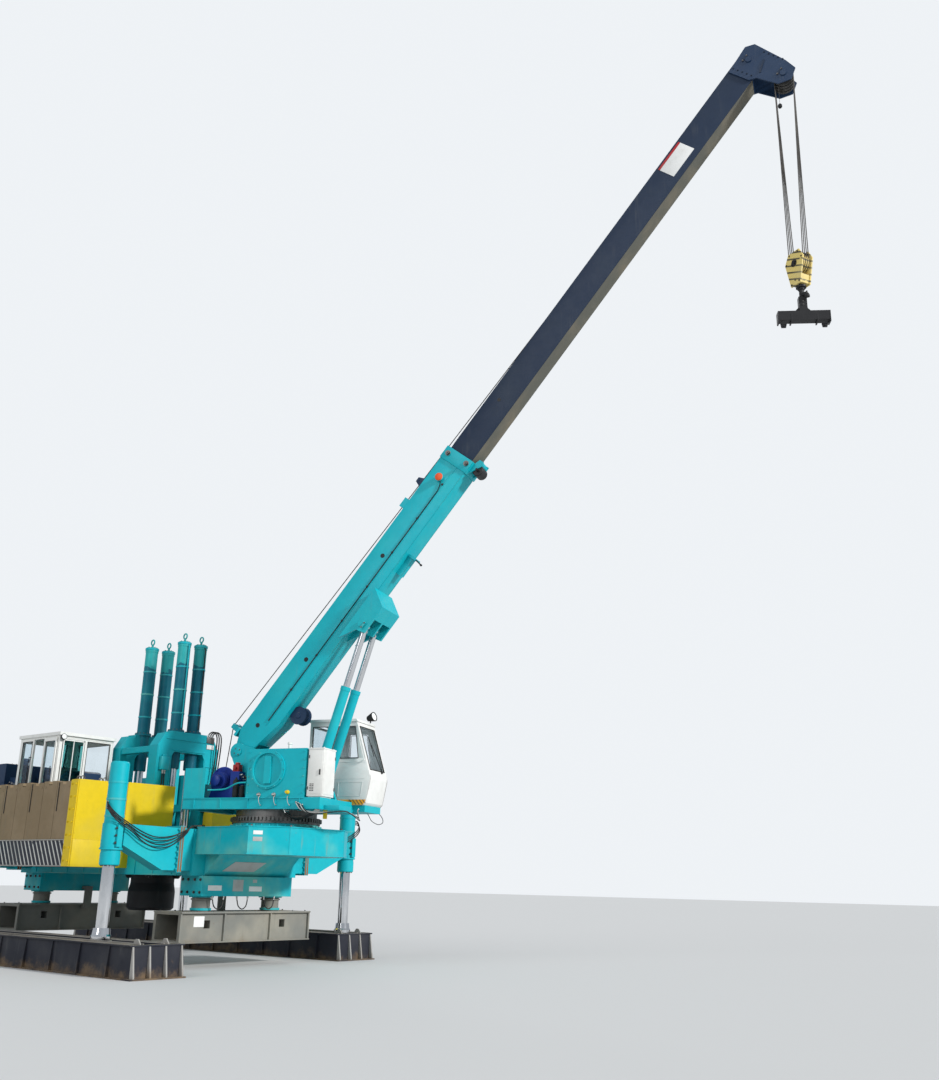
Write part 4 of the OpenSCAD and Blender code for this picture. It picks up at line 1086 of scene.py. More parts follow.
@dataclass
class Boom:
    """The plates, seams, rope and cable that the boom's sections carry."""

    half: float = 0.3
    top: float = 0.35
    under: float = -0.42
    length: float = 8.755
    inner_half: float = 0.255
    inner_top: float = 0.305
    inner_under: float = -0.372
    inner_start: float = 7.2
    inner_end: float = 20.23
    wall: float = 0.02
    tip: Pair = (20.65, -0.95)
    upper_t: float = 0.03
    groove: float = 0.2185
    cap_at: Pair = (8.0, 0.02)

    def base_section(self) -> None:
        """The square-cornered base section, which stands for the CAD one: plates, fork, foot boss and collar."""
        h, top, under, end, w = self.half, self.top, self.under, self.length, self.wall
        shell = Sketch("boom")
        foot = [(-0.15, -0.15), (-0.06, 0.12), (0.42, top)]
        slot_t = -0.2 - 0.36 / 1.04 * (-0.2 - under)
        for s in SIDES:
            shell.outline(
                [*foot, (end, top), (end, under), (1.1, under), (0.06, -0.2)], s * (h - w), s * h, bevel=0.006
            )
            shell.outline(
                [*foot, (0.44, top), (0.44, slot_t), (0.06, -0.2)], s * (h - 0.06), s * (h - 0.001), bevel=0.002
            )
            shell.turned(
                [(0.0705, 0), (0.19, 0), (0.19, 0.06), (0.0705, 0.06), (0.0705, 0)], (0, s * (h - 0.06), 0), (0, s, 0),
                40,
            )
            shell.block((end - 0.33, s * h, under - 0.025), (end, s * (h + 0.025), top + 0.025), 0.006)
            shell.block((0.9, s * h, -0.177), (end - 0.34, s * (h + 0.008), -0.153), 0.002)
        shell.block((0.42, -h + 0.002, top - w), (end, h - 0.002, top), 0.002)
        shell.block((1.1, -h + 0.002, under), (end, h - 0.002, under + w), 0.002)
        shell.outline([(0.42, slot_t), (1.1, under), (1.1, under + w), (0.42, slot_t + w)], -h + 0.002, h - 0.002)
        shell.block((0.42, -h + w, slot_t), (0.44, h - w, top - w), 0)
        shell.block((end - 0.33, -h - 0.02, top), (end, h + 0.02, top + 0.025))
        shell.block((end - 0.33, -h - 0.02, under - 0.025), (end, h + 0.02, under))
        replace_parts(shell.piece("boom_base_section", "teal_paint", "teal"), "boom_base")
        ports, pads = Sketch("boom"), Sketch("boom")
        for s in SIDES:
            for at in (0.75, 2.66, 5.7):
                ports.turned([(0, 0.002), (0.055, 0.002), (0.055, 0), (0, 0)], (at, s * h, 0.03), (0, s, 0), 24)
            y0, y1 = s * (self.inner_half + 0.001), s * (h - w)
            pads.block((end - 0.24, y0, -0.16), (end + 0.004, y1, 0.24), 0.001)
        pads.block((end - 0.24, -0.18, self.inner_top + 0.001), (end + 0.004, 0.18, top - w), 0.001)
        pads.block((end - 0.24, -0.15, under + w), (end + 0.004, 0.15, self.inner_under - 0.001), 0.001)
        ports.piece("side_port_discs", "black_paint", "graphite")
        pads.piece("slide_pads", "black_paint")
        roller = Sketch("boom").turned(
            [(0, -0.165), (0.12, -0.165), (0.135, -0.15), (0.135, 0.15), (0.12, 0.165), (0, 0.165)],
            (end - 0.095, 0, -0.6), (0, 1, 0), 40,
        )
        roller.bar((end - 0.095, -0.26, -0.6), (end - 0.095, 0.26, -0.6), 0.03)
        roller.piece("head_roller", "black_paint", "graphite")

    def inner_section(self) -> None:
        """The dark inner section, which stands for the CAD one, with its underside painted lighter: painted light where
        the sun falls on it, over the section's own wear.
        """
        h, top, under, start, end = self.inner_half, self.inner_top, self.inner_under, self.inner_start, self.inner_end
        shell = Sketch("boom_tip").block((start, -h, under), (end, h, top), 0.012)
        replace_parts(shell.piece("boom_inner_section", "boom_graphite", "navy"), "boom_inner")
        # painted light: a lighter grey sheet on the underside stands for sunlight falling on it, with wear on top
        Sketch("boom_tip").block(
            (start + 1.0, -h + 0.014, under - 0.003), (end - 0.01, h - 0.014, under), 0
        ).piece("inner_underside", "underside_light_and_wear", "navy")
        marks = Sketch("boom_tip")
        for s in SIDES:
            marks.turned([(0, 0.002), (0.045, 0.002), (0.045, 0), (0, 0)], (10.35, s * h, 0.02), (0, s, 0), 24)
        marks.piece("inner_ports", "black_paint")

    def seams(self, fit: Fittings) -> None:
        """Weld seams along both sections' corners.

        Args:
            fit: what gathers its bolts, slats and pipes.
        """
        low, high = 0.9, self.length - 0.34
        for s in SIDES:
            for y, t in ((self.half - 0.002, self.under + 0.004), (self.half - 0.01, self.top)):
                fit.pipe("boom", [(low + 0.3, s * y, t), (high, s * y, t)], 0.006, "teal_worn")
            for y, t in (
                (self.inner_half - 0.006, self.inner_under + 0.004), (self.inner_half - 0.008, self.inner_top)
            ):
                fit.pipe(
                    "boom_tip", [(self.length + 0.1, s * y, t), (self.inner_end, s * y, t)], 0.005, "boom_graphite"
                )

    def collar(self, fit: Fittings) -> None:
        """Bolts and wear pad adjusters around the head of the base section.

        Args:
            fit: what gathers its bolts, slats and pipes.
        """
        side, top = self.half + 0.025, self.top + 0.025
        pads = Sketch("boom")
        for s in SIDES:
            for at, t in ((self.length - 0.158, 0.237), (self.length - 0.128, -0.33)):
                pads.turned([(0, 0), (0.07, 0), (0.07, 0.012), (0, 0.012)], (at, s * side, t), (0, s, 0), 24)
                fit.bolt("boom", [((at, s * (side + 0.012), t), (0, s, 0))], 0.1)
        for y in (-0.18, 0.18):
            pads.block((self.length - 0.23, y - 0.06, top), (self.length - 0.1, y + 0.06, top + 0.03), 0.006)
        fit.bolt(
            "boom", row((self.length - 0.165, -0.18, top + 0.03), (self.length - 0.165, 0.18, top + 0.03), 2, UP), 0.05
        )
        pads.piece("collar_adjusters", "teal_worn", "teal")

    def fittings(self, fit: Fittings) -> None:
        """Round caps, hose reel, lever, rope bracket and the luff lugs' keepers.

        Args:
            fit: what gathers its bolts, slats and pipes.
        """
        caps = Sketch("boom")
        s0, t0 = self.cap_at
        for s in SIDES:
            caps.turned(
                [(0.092, 0), (0.096, 0.012), (0.09, 0.03), (0.05, 0.042), (0, 0.045)], (s0, s * 0.388, t0), (0, s, 0),
                28,
            )
        caps.piece("orange_caps", "orange_paint")
        reel = Sketch("boom")
        for s in SIDES:
            reel.turned(
                [
                    (0.0, 0), (0.205, 0), (0.212, 0.006), (0.205, 0.012), (0.19, 0.01), (0.07, 0.01), (0.06, 0.03),
                    (0, 0.03),
                ],
                (1.52, s * 0.126, -0.6), (0, s, 0), 36,
            )
        for i in range(7):
            reel.ring((1.52, -0.108 + 0.036 * i, -0.6), (0, 1, 0), 0.185, 0.017, 36)
        reel.piece("hose_reel", "navy_paint", "navy")
        lever = Sketch("boom").bar((6.085, -0.1, -0.64), (6.06, -0.15, -0.86), 0.016)
        lever.turned([(0, -0.03), (0.02, -0.025), (0.028, 0), (0.02, 0.025), (0, 0.03)], (6.058, -0.153, -0.87), UP, 16)
        lever.piece("boom_lever", "black_paint")
        bracket = Sketch("boom")
        for s in SIDES:
            bracket.outline(
                [(7.52, 0.35), (7.84, 0.35), (7.74, 0.62), (7.62, 0.62)], s * 0.11 - 0.008, s * 0.11 + 0.008
            )
        bracket.bar((7.68, -0.13, 0.46), (7.68, 0.13, 0.46), 0.032).bar((7.68, -0.13, 0.57), (7.68, 0.13, 0.57), 0.02)
        bracket.piece("rope_bracket", "navy_paint", "navy")
        keep = Sketch("boom")
        for s in SIDES:
            y = s * 0.5464
            keep.block((4.06, y, -0.8), (4.24, y + s * 0.012, -0.755), 0.003)
            fit.bolt("boom", row((4.09, y + s * 0.012, -0.777), (4.21, y + s * 0.012, -0.777), 2, (0, s, 0)), 0.03)
        keep.piece("lug_keepers", "teal_worn", "teal")
        fit.pipe(
            "boom",
            spline(
                [
                    (1.0, -0.318, -0.135), (3.0, -0.318, -0.135), (5.0, -0.318, -0.135), (7.4, -0.318, -0.135),
                    (7.75, -0.318, -0.12), (7.93, -0.318, -0.05),
                ],
                8,
            ),
            0.01,
        )
        clips = Sketch("boom")
        for i in range(7):
            x = 1.9 + i * 1.0
            clips.block((x - 0.025, -0.333, -0.155), (x + 0.025, -0.3, -0.115), 0.005)
        clips.piece("cable_clips", "black_paint")

    def plates(self) -> None:
        """The blank load plate with its red upper strip."""
        y = -self.inner_half
        Sketch("boom_tip").block((17.2, y - 0.005, -0.21), (18.05, y, 0.2), 0.001).piece("load_plate", "blank_plate")
        Sketch("boom_tip").block(
            (17.2, y - 0.005, 0.201), (18.05, y, 0.26), 0.001
        ).piece("load_plate_strip", "red_paint")

    def head(self, fit: Fittings) -> None:
        """Keepers, guards and bolts on the head's cheeks.

        Args:
            fit: what gathers its bolts, slats and pipes.
        """
        s, t = self.tip
        out = self.inner_half + 0.032
        parts = Sketch("boom_tip")
        for side in SIDES:
            y = side * out
            for t1 in (t, self.upper_t):
                parts.block((s - 0.11, y, t1 + 0.082), (s + 0.11, y + side * 0.014, t1 + 0.125), 0.003)
                fit.bolt(
                    "boom_tip",
                    row(
                        (s - 0.08, y + side * 0.014, t1 + 0.104), (s + 0.08, y + side * 0.014, t1 + 0.104), 2,
                        (0, side, 0),
                    ),
                    0.03,
                )
            for a, b in (((20.3, 0.22), (20.3, -0.3)), ((20.98, -0.2), (20.98, -0.72))):
                fit.bolt("boom_tip", row((a[0], y, a[1]), (b[0], y, b[1]), 5, (0, side, 0)), 0.034, "boom_graphite")
            parts.outline([(20.45, -0.42), (20.8, -0.3), (20.8, -0.34), (20.45, -0.46)], y, y + side * 0.02)
        for a in ((20.93, -0.9), (20.95, -0.72), (20.94, self.upper_t + 0.05), (20.93, self.upper_t - 0.1)):
            parts.bar((a[0], -self.inner_half, a[1]), (a[0], self.inner_half, a[1]), 0.014)
        parts.block((20.24, -0.05, self.inner_top), (20.6, -0.035, self.inner_top + 0.05))
        parts.block((20.24, 0.12, self.inner_top), (20.6, 0.135, self.inner_top + 0.05))
        parts.piece("head_keepers", "boom_graphite", "navy")

    def ropes(self, fit: Fittings) -> None:
        """The hoist rope from the guide over the bracket to the head's sheaves.

        Args:
            fit: what gathers its bolts, slats and pipes.
        """
        y = ROPE_GUIDE[1]
        rest = (7.68, y, 0.505)
        fit.pipe("boom", [ROPE_GUIDE, (0.285, y, 0.682), (0.31, y, 0.686), rest], ROPE_R, "wire_rope")
        s, t = self.tip
        over = [
            (s + self.groove * math.sin(a), y, self.upper_t + self.groove * math.cos(a))
            for a in (math.radians(9 * i) for i in range(11))
        ]
        down = [(s + self.groove, y, self.upper_t - 0.3), (s + self.groove, y + 0.01, t)]
        fit.pipe("boom_tip", [*over, *down], ROPE_R, "wire_rope")
        start, end = BOOM @ Vector(rest), BOOM @ Vector(over[0])
        run = Sketch(None).tube(straight(start, end, 24), ROPE_R, 8).piece("boom_rope", "wire_rope")
        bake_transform(run)

    def build(self, fit: Fittings) -> None:
        """Builds and dresses the boom.

        Args:
            fit: what gathers its bolts, slats and pipes.
        """
        self.base_section()
        self.inner_section()
        self.seams(fit)
        self.collar(fit)
        self.fittings(fit)
        self.plates()
        self.head(fit)
        self.ropes(fit)


@dataclass
class HookBlock:
    """Fittings of the hook block, its falls and the lifting beam."""

    cheek: float = 0.15
    pin_z: float = -0.23

    def build(self, fit: Fittings) -> None:
        """Builds and dresses the block.

        Args:
            fit: what gathers its bolts, slats and pipes.
        """
        block = Sketch("hook_set")
        for s in SIDES:
            y = s * self.cheek
            block.turned(
                [(0.085, 0), (0.085, 0.012), (0.05, 0.016), (0.05, 0.03), (0, 0.03)], (0, y, self.pin_z), (0, s, 0), 24
            )
            fit.bolt(
                "hook_set",
                [
                    *ring((0, y + s * 0.012, self.pin_z), (0, s, 0), 0.067, 4, 0.4),
                    *(
                        (p, (0, s, 0))
                        for p in (
                            (-0.13, y, 0.02), (0.13, y, 0.02), (-0.24, y, -0.17), (0.24, y, -0.17), (-0.12, y, -0.73),
                            (0.12, y, -0.73), (0, y, -0.66),
                        )
                    ),
                ],
                0.03,
            )
        for x in (-0.14, 0.14):
            block.bar((x, -self.cheek, 0.0), (x, self.cheek, 0.0), 0.016)
        block.piece("block_pin_caps", "black_paint", "graphite")
        low = BLOCK @ Matrix.Translation((0, 0, -0.78))
        hook = Sketch("hook_set", low)
        hook.turned(
            [(0.1, 0.0), (0.115, -0.01), (0.115, -0.05), (0.1, -0.06), (0.075, -0.06), (0.075, -0.1), (0.06, -0.11)],
            (0, 0, 0), UP, 28,
        )
        hook.outline([(0.155, -0.2), (0.175, -0.2), (0.1, -0.4), (0.08, -0.4)], -0.02, 0.02)
        hook.piece("hook_latch", "black_paint", "graphite")
        beam = low @ Matrix.Translation((0, 0, -0.84)) @ Matrix.Rotation(math.radians(60), 4, "Z")
        parts = Sketch("hook_set", beam)
        for x in (-0.45, 0.45):
            parts.outline([(x - 0.07, -0.11), (x + 0.07, -0.11), (x + 0.05, -0.2), (x - 0.05, -0.2)], -0.02, 0.02)
            parts.bar((x, -0.05, -0.165), (x, 0.05, -0.165), 0.018)
        for x in (-0.575, -0.3, 0.27, 0.545):
            parts.block((x, -0.104, -0.1), (x + 0.03, 0.104, 0.1))
        for s in SIDES:
            parts.outline([(s * 0.28, 0.1), (s * 0.09, 0.1), (s * 0.09, 0.3)], -0.012, 0.012)
        parts.piece("beam_lugs", "black_paint", "graphite")
        fit.bolt("hook_set", [((0.0, s * 0.07, z), (0, s, 0)) for s in SIDES for z in (0.34, 0.42)], 0.035, place=beam)
        fit.pipe("hook_set", [(-0.131, -0.2, -0.3), (-0.131, -0.2, -0.8)], 0.004, "wire_rope", HOOK)
        Sketch("hook_set", HOOK).turned(
            [(0, -0.06), (0.03, -0.055), (0.05, -0.03), (0.05, 0.02), (0.03, 0.05), (0.008, 0.06)],
            (-0.131, -0.2, -0.85), UP, 20,
        ).piece("limit_weight", "black_paint")


@dataclass
class CraneDeck:
    """Winch, side plate, cabinets and pipes on the crane's deck."""

    half: float = 1.0
    top: float = 3.62
    drum: Point = (-1.25, -0.362, 4.04)
    drum_r: float = 0.21
    turns: int = 30
    per_turn: int = 20
    pitch: float = 0.0242

    def winch(self, fit: Fittings) -> None:
        """Rope on the drum, the rope up to the guide, motor, valve and flange bolts.

        Args:
            fit: what gathers its bolts, slats and pipes.
        """
        x, y, z = self.drum
        r = self.drum_r + ROPE_R
        wrap = []
        for i in range(self.turns * self.per_turn + 1):
            t = 2 * math.pi * i / self.per_turn
            wrap.append((x + r * math.cos(t), y + self.pitch * i / self.per_turn, z + r * math.sin(t)))
        fit.pipe("crane", wrap, 0.0109, "wire_rope")
        parts = Sketch("crane")
        for s in SIDES:
            parts.turned(
                [(0.326, 0), (0.334, 0.01), (0.334, 0.03), (0.326, 0.04)], (x, s * 0.4 - 0.02, z), (0, 1, 0), 48
            )
            fit.bolt("crane", ring((x, s * 0.48, z), (0, s, 0), 0.1 if s > 0 else 0.17, 8), 0.03)
        for i in range(5):
            parts.turned([(0.195, 0), (0.203, 0.006), (0.195, 0.012)], (x, -0.46 - 0.032 * i, z), (0, -1, 0))
        parts.turned([(0.125, 0), (0.125, 0.01), (0.1, 0.025), (0, 0.03)], (x, -0.74, z), (0, -1, 0), 28)
        parts.piece("winch_rims", "blue_paint", "navy")
        valve = Sketch("crane").block((-0.9, -0.6, 4.24), (-0.74, -0.44, 4.4), 0.008).block(
            (-0.86, -0.57, 4.4), (-0.78, -0.47, 4.45), 0.006
        )
        valve.turned([(0.035, 0), (0.035, 0.05), (0.025, 0.06), (0, 0.06)], (-0.82, -0.6, 4.32), (0, -1, 0), 16)
        valve.piece("valve_block", "red_paint")
        tank = Sketch("crane").turned(
            [(0, 0), (0.055, 0.01), (0.07, 0.05), (0.07, 0.36), (0.05, 0.41), (0.02, 0.43), (0.02, 0.46), (0, 0.46)],
            (-0.62, -0.86, self.top), UP, 24,
        )
        tank.turned([(0, 0), (0.05, 0.01), (0.06, 0.04), (0.06, 0.26), (0, 0.3)], (-0.46, -0.86, self.top), UP, 24)
        tank.piece("accumulators", "black_paint")
        start, guide = CRANE @ Vector((x - r, -0.05, z)), BOOM @ Vector(ROPE_GUIDE)
        rope = Sketch(None).tube(straight(start, guide, 12), ROPE_R, 8).piece("hoist_rope", "wire_rope")
        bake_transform(rope)

    def side_plate(self, fit: Fittings) -> None:
        """Bolts, fittings and caps around the right side plate.

        Args:
            fit: what gathers its bolts, slats and pipes.
        """
        y = -self.half
        fit.bolt("crane", ring((0.27, y - 0.045, 4.23), (0, -1, 0), 0.415, 12), 0.034, "teal_worn")
        fit.bolt(
            "crane",
            [
                *row((-0.22, y, 3.72), (-0.22, y, 4.62), 6, (0, -1, 0)),
                *row((1.16, y, 3.72), (1.16, y, 4.62), 6, (0, -1, 0)),
            ],
            0.03, "teal_worn",
        )
        ports = Sketch("crane")
        for x in (0.08, 0.46):
            ports.turned(
                [(0.045, 0), (0.045, 0.02), (0.03, 0.03), (0.03, 0.07), (0.02, 0.08), (0, 0.08)], (x, y, 3.68),
                (0, -1, 0), 20,
            )
        ports.piece("side_ports", "bright_steel")
        Sketch("crane").turned(
            [(0.045, 0), (0.045, 0.03), (0.03, 0.04), (0.03, 0.09), (0, 0.09)], (0.8, y, 3.73), (0, -1, 0), 20
        ).piece("yellow_port", "yellow_paint")
        Sketch("crane").turned(
            [(0.04, 0), (0.04, 0.09), (0.055, 0.1), (0.055, 0.14), (0.04, 0.15), (0, 0.15)], (0.72, -0.9, 4.69), UP, 24
        ).piece("filler_cap", "white_paint")
        rim = Sketch("crane")
        for z0, z1 in ((3.37, 3.392), (3.598, 3.62)):
            rim.block((-1.9, y - 0.02, z0), (1.2, y, z1), 0.003)
            rim.block((-1.9, -y, z0), (0.49, -y + 0.02, z1), 0.003)
        for x in (-1.6, -0.9, -0.2, 0.5, 1.1):
            rim.block((x, y - 0.018, 3.392), (x + 0.02, y, 3.598), 0.003)
        rim.piece("deck_lips", "teal_paint", "teal")
        fit.pipe(
            "crane",
            spline(
                [
                    (-0.27, -1.03, 3.95), (-0.5, -1.03, 3.93), (-0.8, -0.98, 3.82), (-1.1, -0.94, 3.8),
                    (-1.3, -0.94, 3.8),
                ],
                6,
            ),
            0.018, "teal_paint",
        )

    def cabinets(self, fit: Fittings) -> None:
        """The white cabinet on the right of the deck, with its doors, hinges and louvres.

        Args:
            fit: what gathers its bolts, slats and pipes.
        """
        y, x0, x1, z0, z1 = -self.half, 1.262, 1.64, self.top + 0.02, 4.68
        case = Sketch("crane").block((x0, y, z0), (x1, -0.43, z1), 0.012).block(
            (x0 + 0.02, y + 0.03, self.top), (x1 - 0.04, -0.46, z0), 0.002
        )
        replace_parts(case.piece("cabinet_case", "white_paint", "white"), "cabinets")
        doors, dark = Sketch("crane"), Sketch("crane")
        doors.block((x0 + 0.025, y - 0.008, z0 + 0.05), (x1 - 0.03, y, z1 - 0.06), 0.003)
        doors.block((x1, y + 0.03, z0 + 0.05), (x1 + 0.007, -0.455, z1 - 0.06), 0.003)
        doors.block((x0 - 0.012, y - 0.012, z1 - 0.02), (x1 + 0.012, -0.42, z1 + 0.008))
        doors.piece("cabinet_doors", "white_paint", "white")
        dark.block((x1 - 0.09, y - 0.026, z0 + 0.46), (x1 - 0.06, y - 0.008, z0 + 0.58))
        for z in (z0 + 0.14, z1 - 0.22):
            dark.bar((x0 + 0.028, y - 0.014, z), (x0 + 0.028, y - 0.014, z + 0.07), 0.009)
            dark.bar((x1 + 0.013, -0.46, z), (x1 + 0.013, -0.46, z + 0.07), 0.009)
        dark.piece("cabinet_handles", "black_paint")
        marks = [(x0 + 0.09 + 0.055 * i, y - 0.01, z0 + 0.12 + 0.035 * k) for i in range(2) for k in range(5)]
        fit.slats("cabinet_louvres", "crane", marks, (0.042, 0.01, 0.014), "black_paint")
        fit.bolt(
            "crane", [((x, side, z1 + 0.008), UP) for x in (x0 + 0.03, x1 - 0.03) for side in (-0.95, -0.48)], 0.03,
            "white_paint",
        )

    def drives(self, fit: Fittings) -> None:
        """The slewing drive, brackets and hoses at the deck's front.

        Args:
            fit: what gathers its bolts, slats and pipes.
        """
        gear = Sketch("crane").turned(
            [
                (0.17, 0), (0.17, 0.04), (0.14, 0.05), (0.14, 0.3), (0.155, 0.31), (0.155, 0.35), (0.11, 0.37),
                (0.11, 0.56), (0.09, 0.6), (0, 0.6),
            ],
            (-0.35, 0.74, self.top),
        )
        gear.piece("slew_drive", "navy_paint", "navy")
        fit.bolt("crane", ring((-0.35, 0.74, self.top + 0.04), UP, 0.155, 10), 0.024)
        box = Sketch("crane").block((1.601, -0.8, 3.36), (1.98, -0.2, 3.46), 0.006)
        box.piece("pipe_box", "teal_paint", "teal")
        Sketch("crane").block((1.5, -0.62, 3.18), (1.56, -0.52, 3.37), 0.008).piece("tow_eye", "yellow_paint")
        for i in range(4):
            y = -0.93 + 0.045 * i
            hose(
                f"deck_hose_{i}", "crane",
                [
                    (0.7, y, 3.36), (0.76, y, 3.27), (0.95, y - 0.01, 3.2 - 0.015 * i), (1.25, y, 3.23),
                    (1.42, y + 0.02, 3.31), (1.46, y + 0.03, 3.36),
                ],
                0.034,
            )
        for i in range(4):
            x, z = 1.02 + 0.055 * i, 3.52 - 0.02 * i
            hose(f"front_hose_{i}", "crane", [
                (x, -1.014, z), (x + 0.05, -1.07, z - 0.05), (x + 0.16, -1.08, 3.36 - 0.02 * i),
                (x + 0.36, -1.05, 3.31 - 0.015 * i), (1.72 + 0.03 * i, -0.92, 3.3),
                (2.03 + 0.02 * i, -0.72, 3.33), (2.06 + 0.03 * i, -0.4, 3.31 - 0.02 * i),
                (2.0 + 0.02 * i, 0.1, 3.27 - 0.03 * i), (1.87, 0.42, 3.33 - 0.02 * i), (1.78, 0.56, 3.43 - 0.01 * i),
                (1.75, 0.665, 3.47),
            ], 0.022, 4, "hose_rubber" if i % 2 else "grey_hose")
        for i, x in enumerate((0.1, 0.48, 0.82)):
            hose(
                f"port_hose_{i}", "crane",
                [
                    (x, -1.016, 3.64), (x + 0.012, -1.07, 3.625), (x + 0.035, -1.105, 3.56), (x + 0.045, -1.095, 3.5),
                    (x + 0.05, -1.05, 3.455), (x + 0.05, -1.012, 3.45),
                ],
                0.014, 5, "grey_hose",
            )
        for i in range(3):
            y, z = -0.6 + 0.07 * i, 4.16 - 0.05 * i
            hose(
                f"winch_hose_{i}", "crane",
                [
                    (-0.69, y, z), (-0.62, y, z + 0.005), (-0.46, y - 0.05, z - 0.1), (-0.4, y - 0.08, 3.9),
                    (-0.4, y - 0.1, 3.74), (-0.4, y - 0.1, 3.62),
                ],
                0.028,
            )

    def build(self, fit: Fittings) -> None:
        """Builds and dresses the deck.

        Args:
            fit: what gathers its bolts, slats and pipes.
        """
        self.winch(fit)
        self.side_plate(fit)
        self.cabinets(fit)
        self.drives(fit)
        x, _, z = BOOM_FOOT
        for s in SIDES:
            pin = Sketch("crane").turned(
                [(0.1, 0), (0.1, 0.014), (0.06, 0.02), (0, 0.02)], (x, s * 0.39, z), (0, s, 0), 28
            )
            pin.piece("foot_pin_cap_" + ("left" if s > 0 else "right"), "teal_worn", "teal")
            fit.bolt("crane", ring((x, s * 0.404, z), (0, s, 0), 0.075, 4, 0.5), 0.028)


def seat(name: str, body: str, place: Matrix) -> None:
    """A driver's seat: two padded cushions on a pedestal, its arm rests and levers.

    Args:
        name: the name.
        body: the body that it rides on.
        place: the seat's frame.
    """
    for part, low, high, bulge in (
        ("base", (-0.24, -0.25, 0.42), (0.27, 0.25, 0.54), 0.05),
        ("back", (-0.33, -0.24, 0.52), (-0.2, 0.24, 1.12), 0.05),
    ):
        pad = Sketch(body, place).block(low, high, bulge).piece(f"{name}_{part}", "seat_fabric")
    mount = Sketch(body, place).turned(
        [(0.22, 0), (0.22, 0.03), (0.12, 0.08), (0.1, 0.3), (0.2, 0.41), (0, 0.42)], (0, 0, 0), UP, 24
    )
    for s in SIDES:
        mount.block((-0.15, s * 0.27, 0.6), (0.22, s * 0.36, 0.66), 0.015)
        mount.block((-0.12, s * 0.24, 0.46), (-0.04, s * 0.29, 0.62), 0.008)
        mount.bar((0.16, s * 0.315, 0.66), (0.2, s * 0.315, 0.84), 0.012).turned(
            [(0, 0), (0.024, 0.02), (0.022, 0.06), (0, 0.08)], (0.19, s * 0.315, 0.8), (0.2, 0, 1), 14
        )
    mount.block((0.42, -0.22, 0.0), (0.56, 0.22, 0.62), 0.02).block((0.38, -0.26, 0.6), (0.58, 0.26, 0.7), 0.02)
    mount.piece(f"{name}_frame", "black_paint", "graphite")


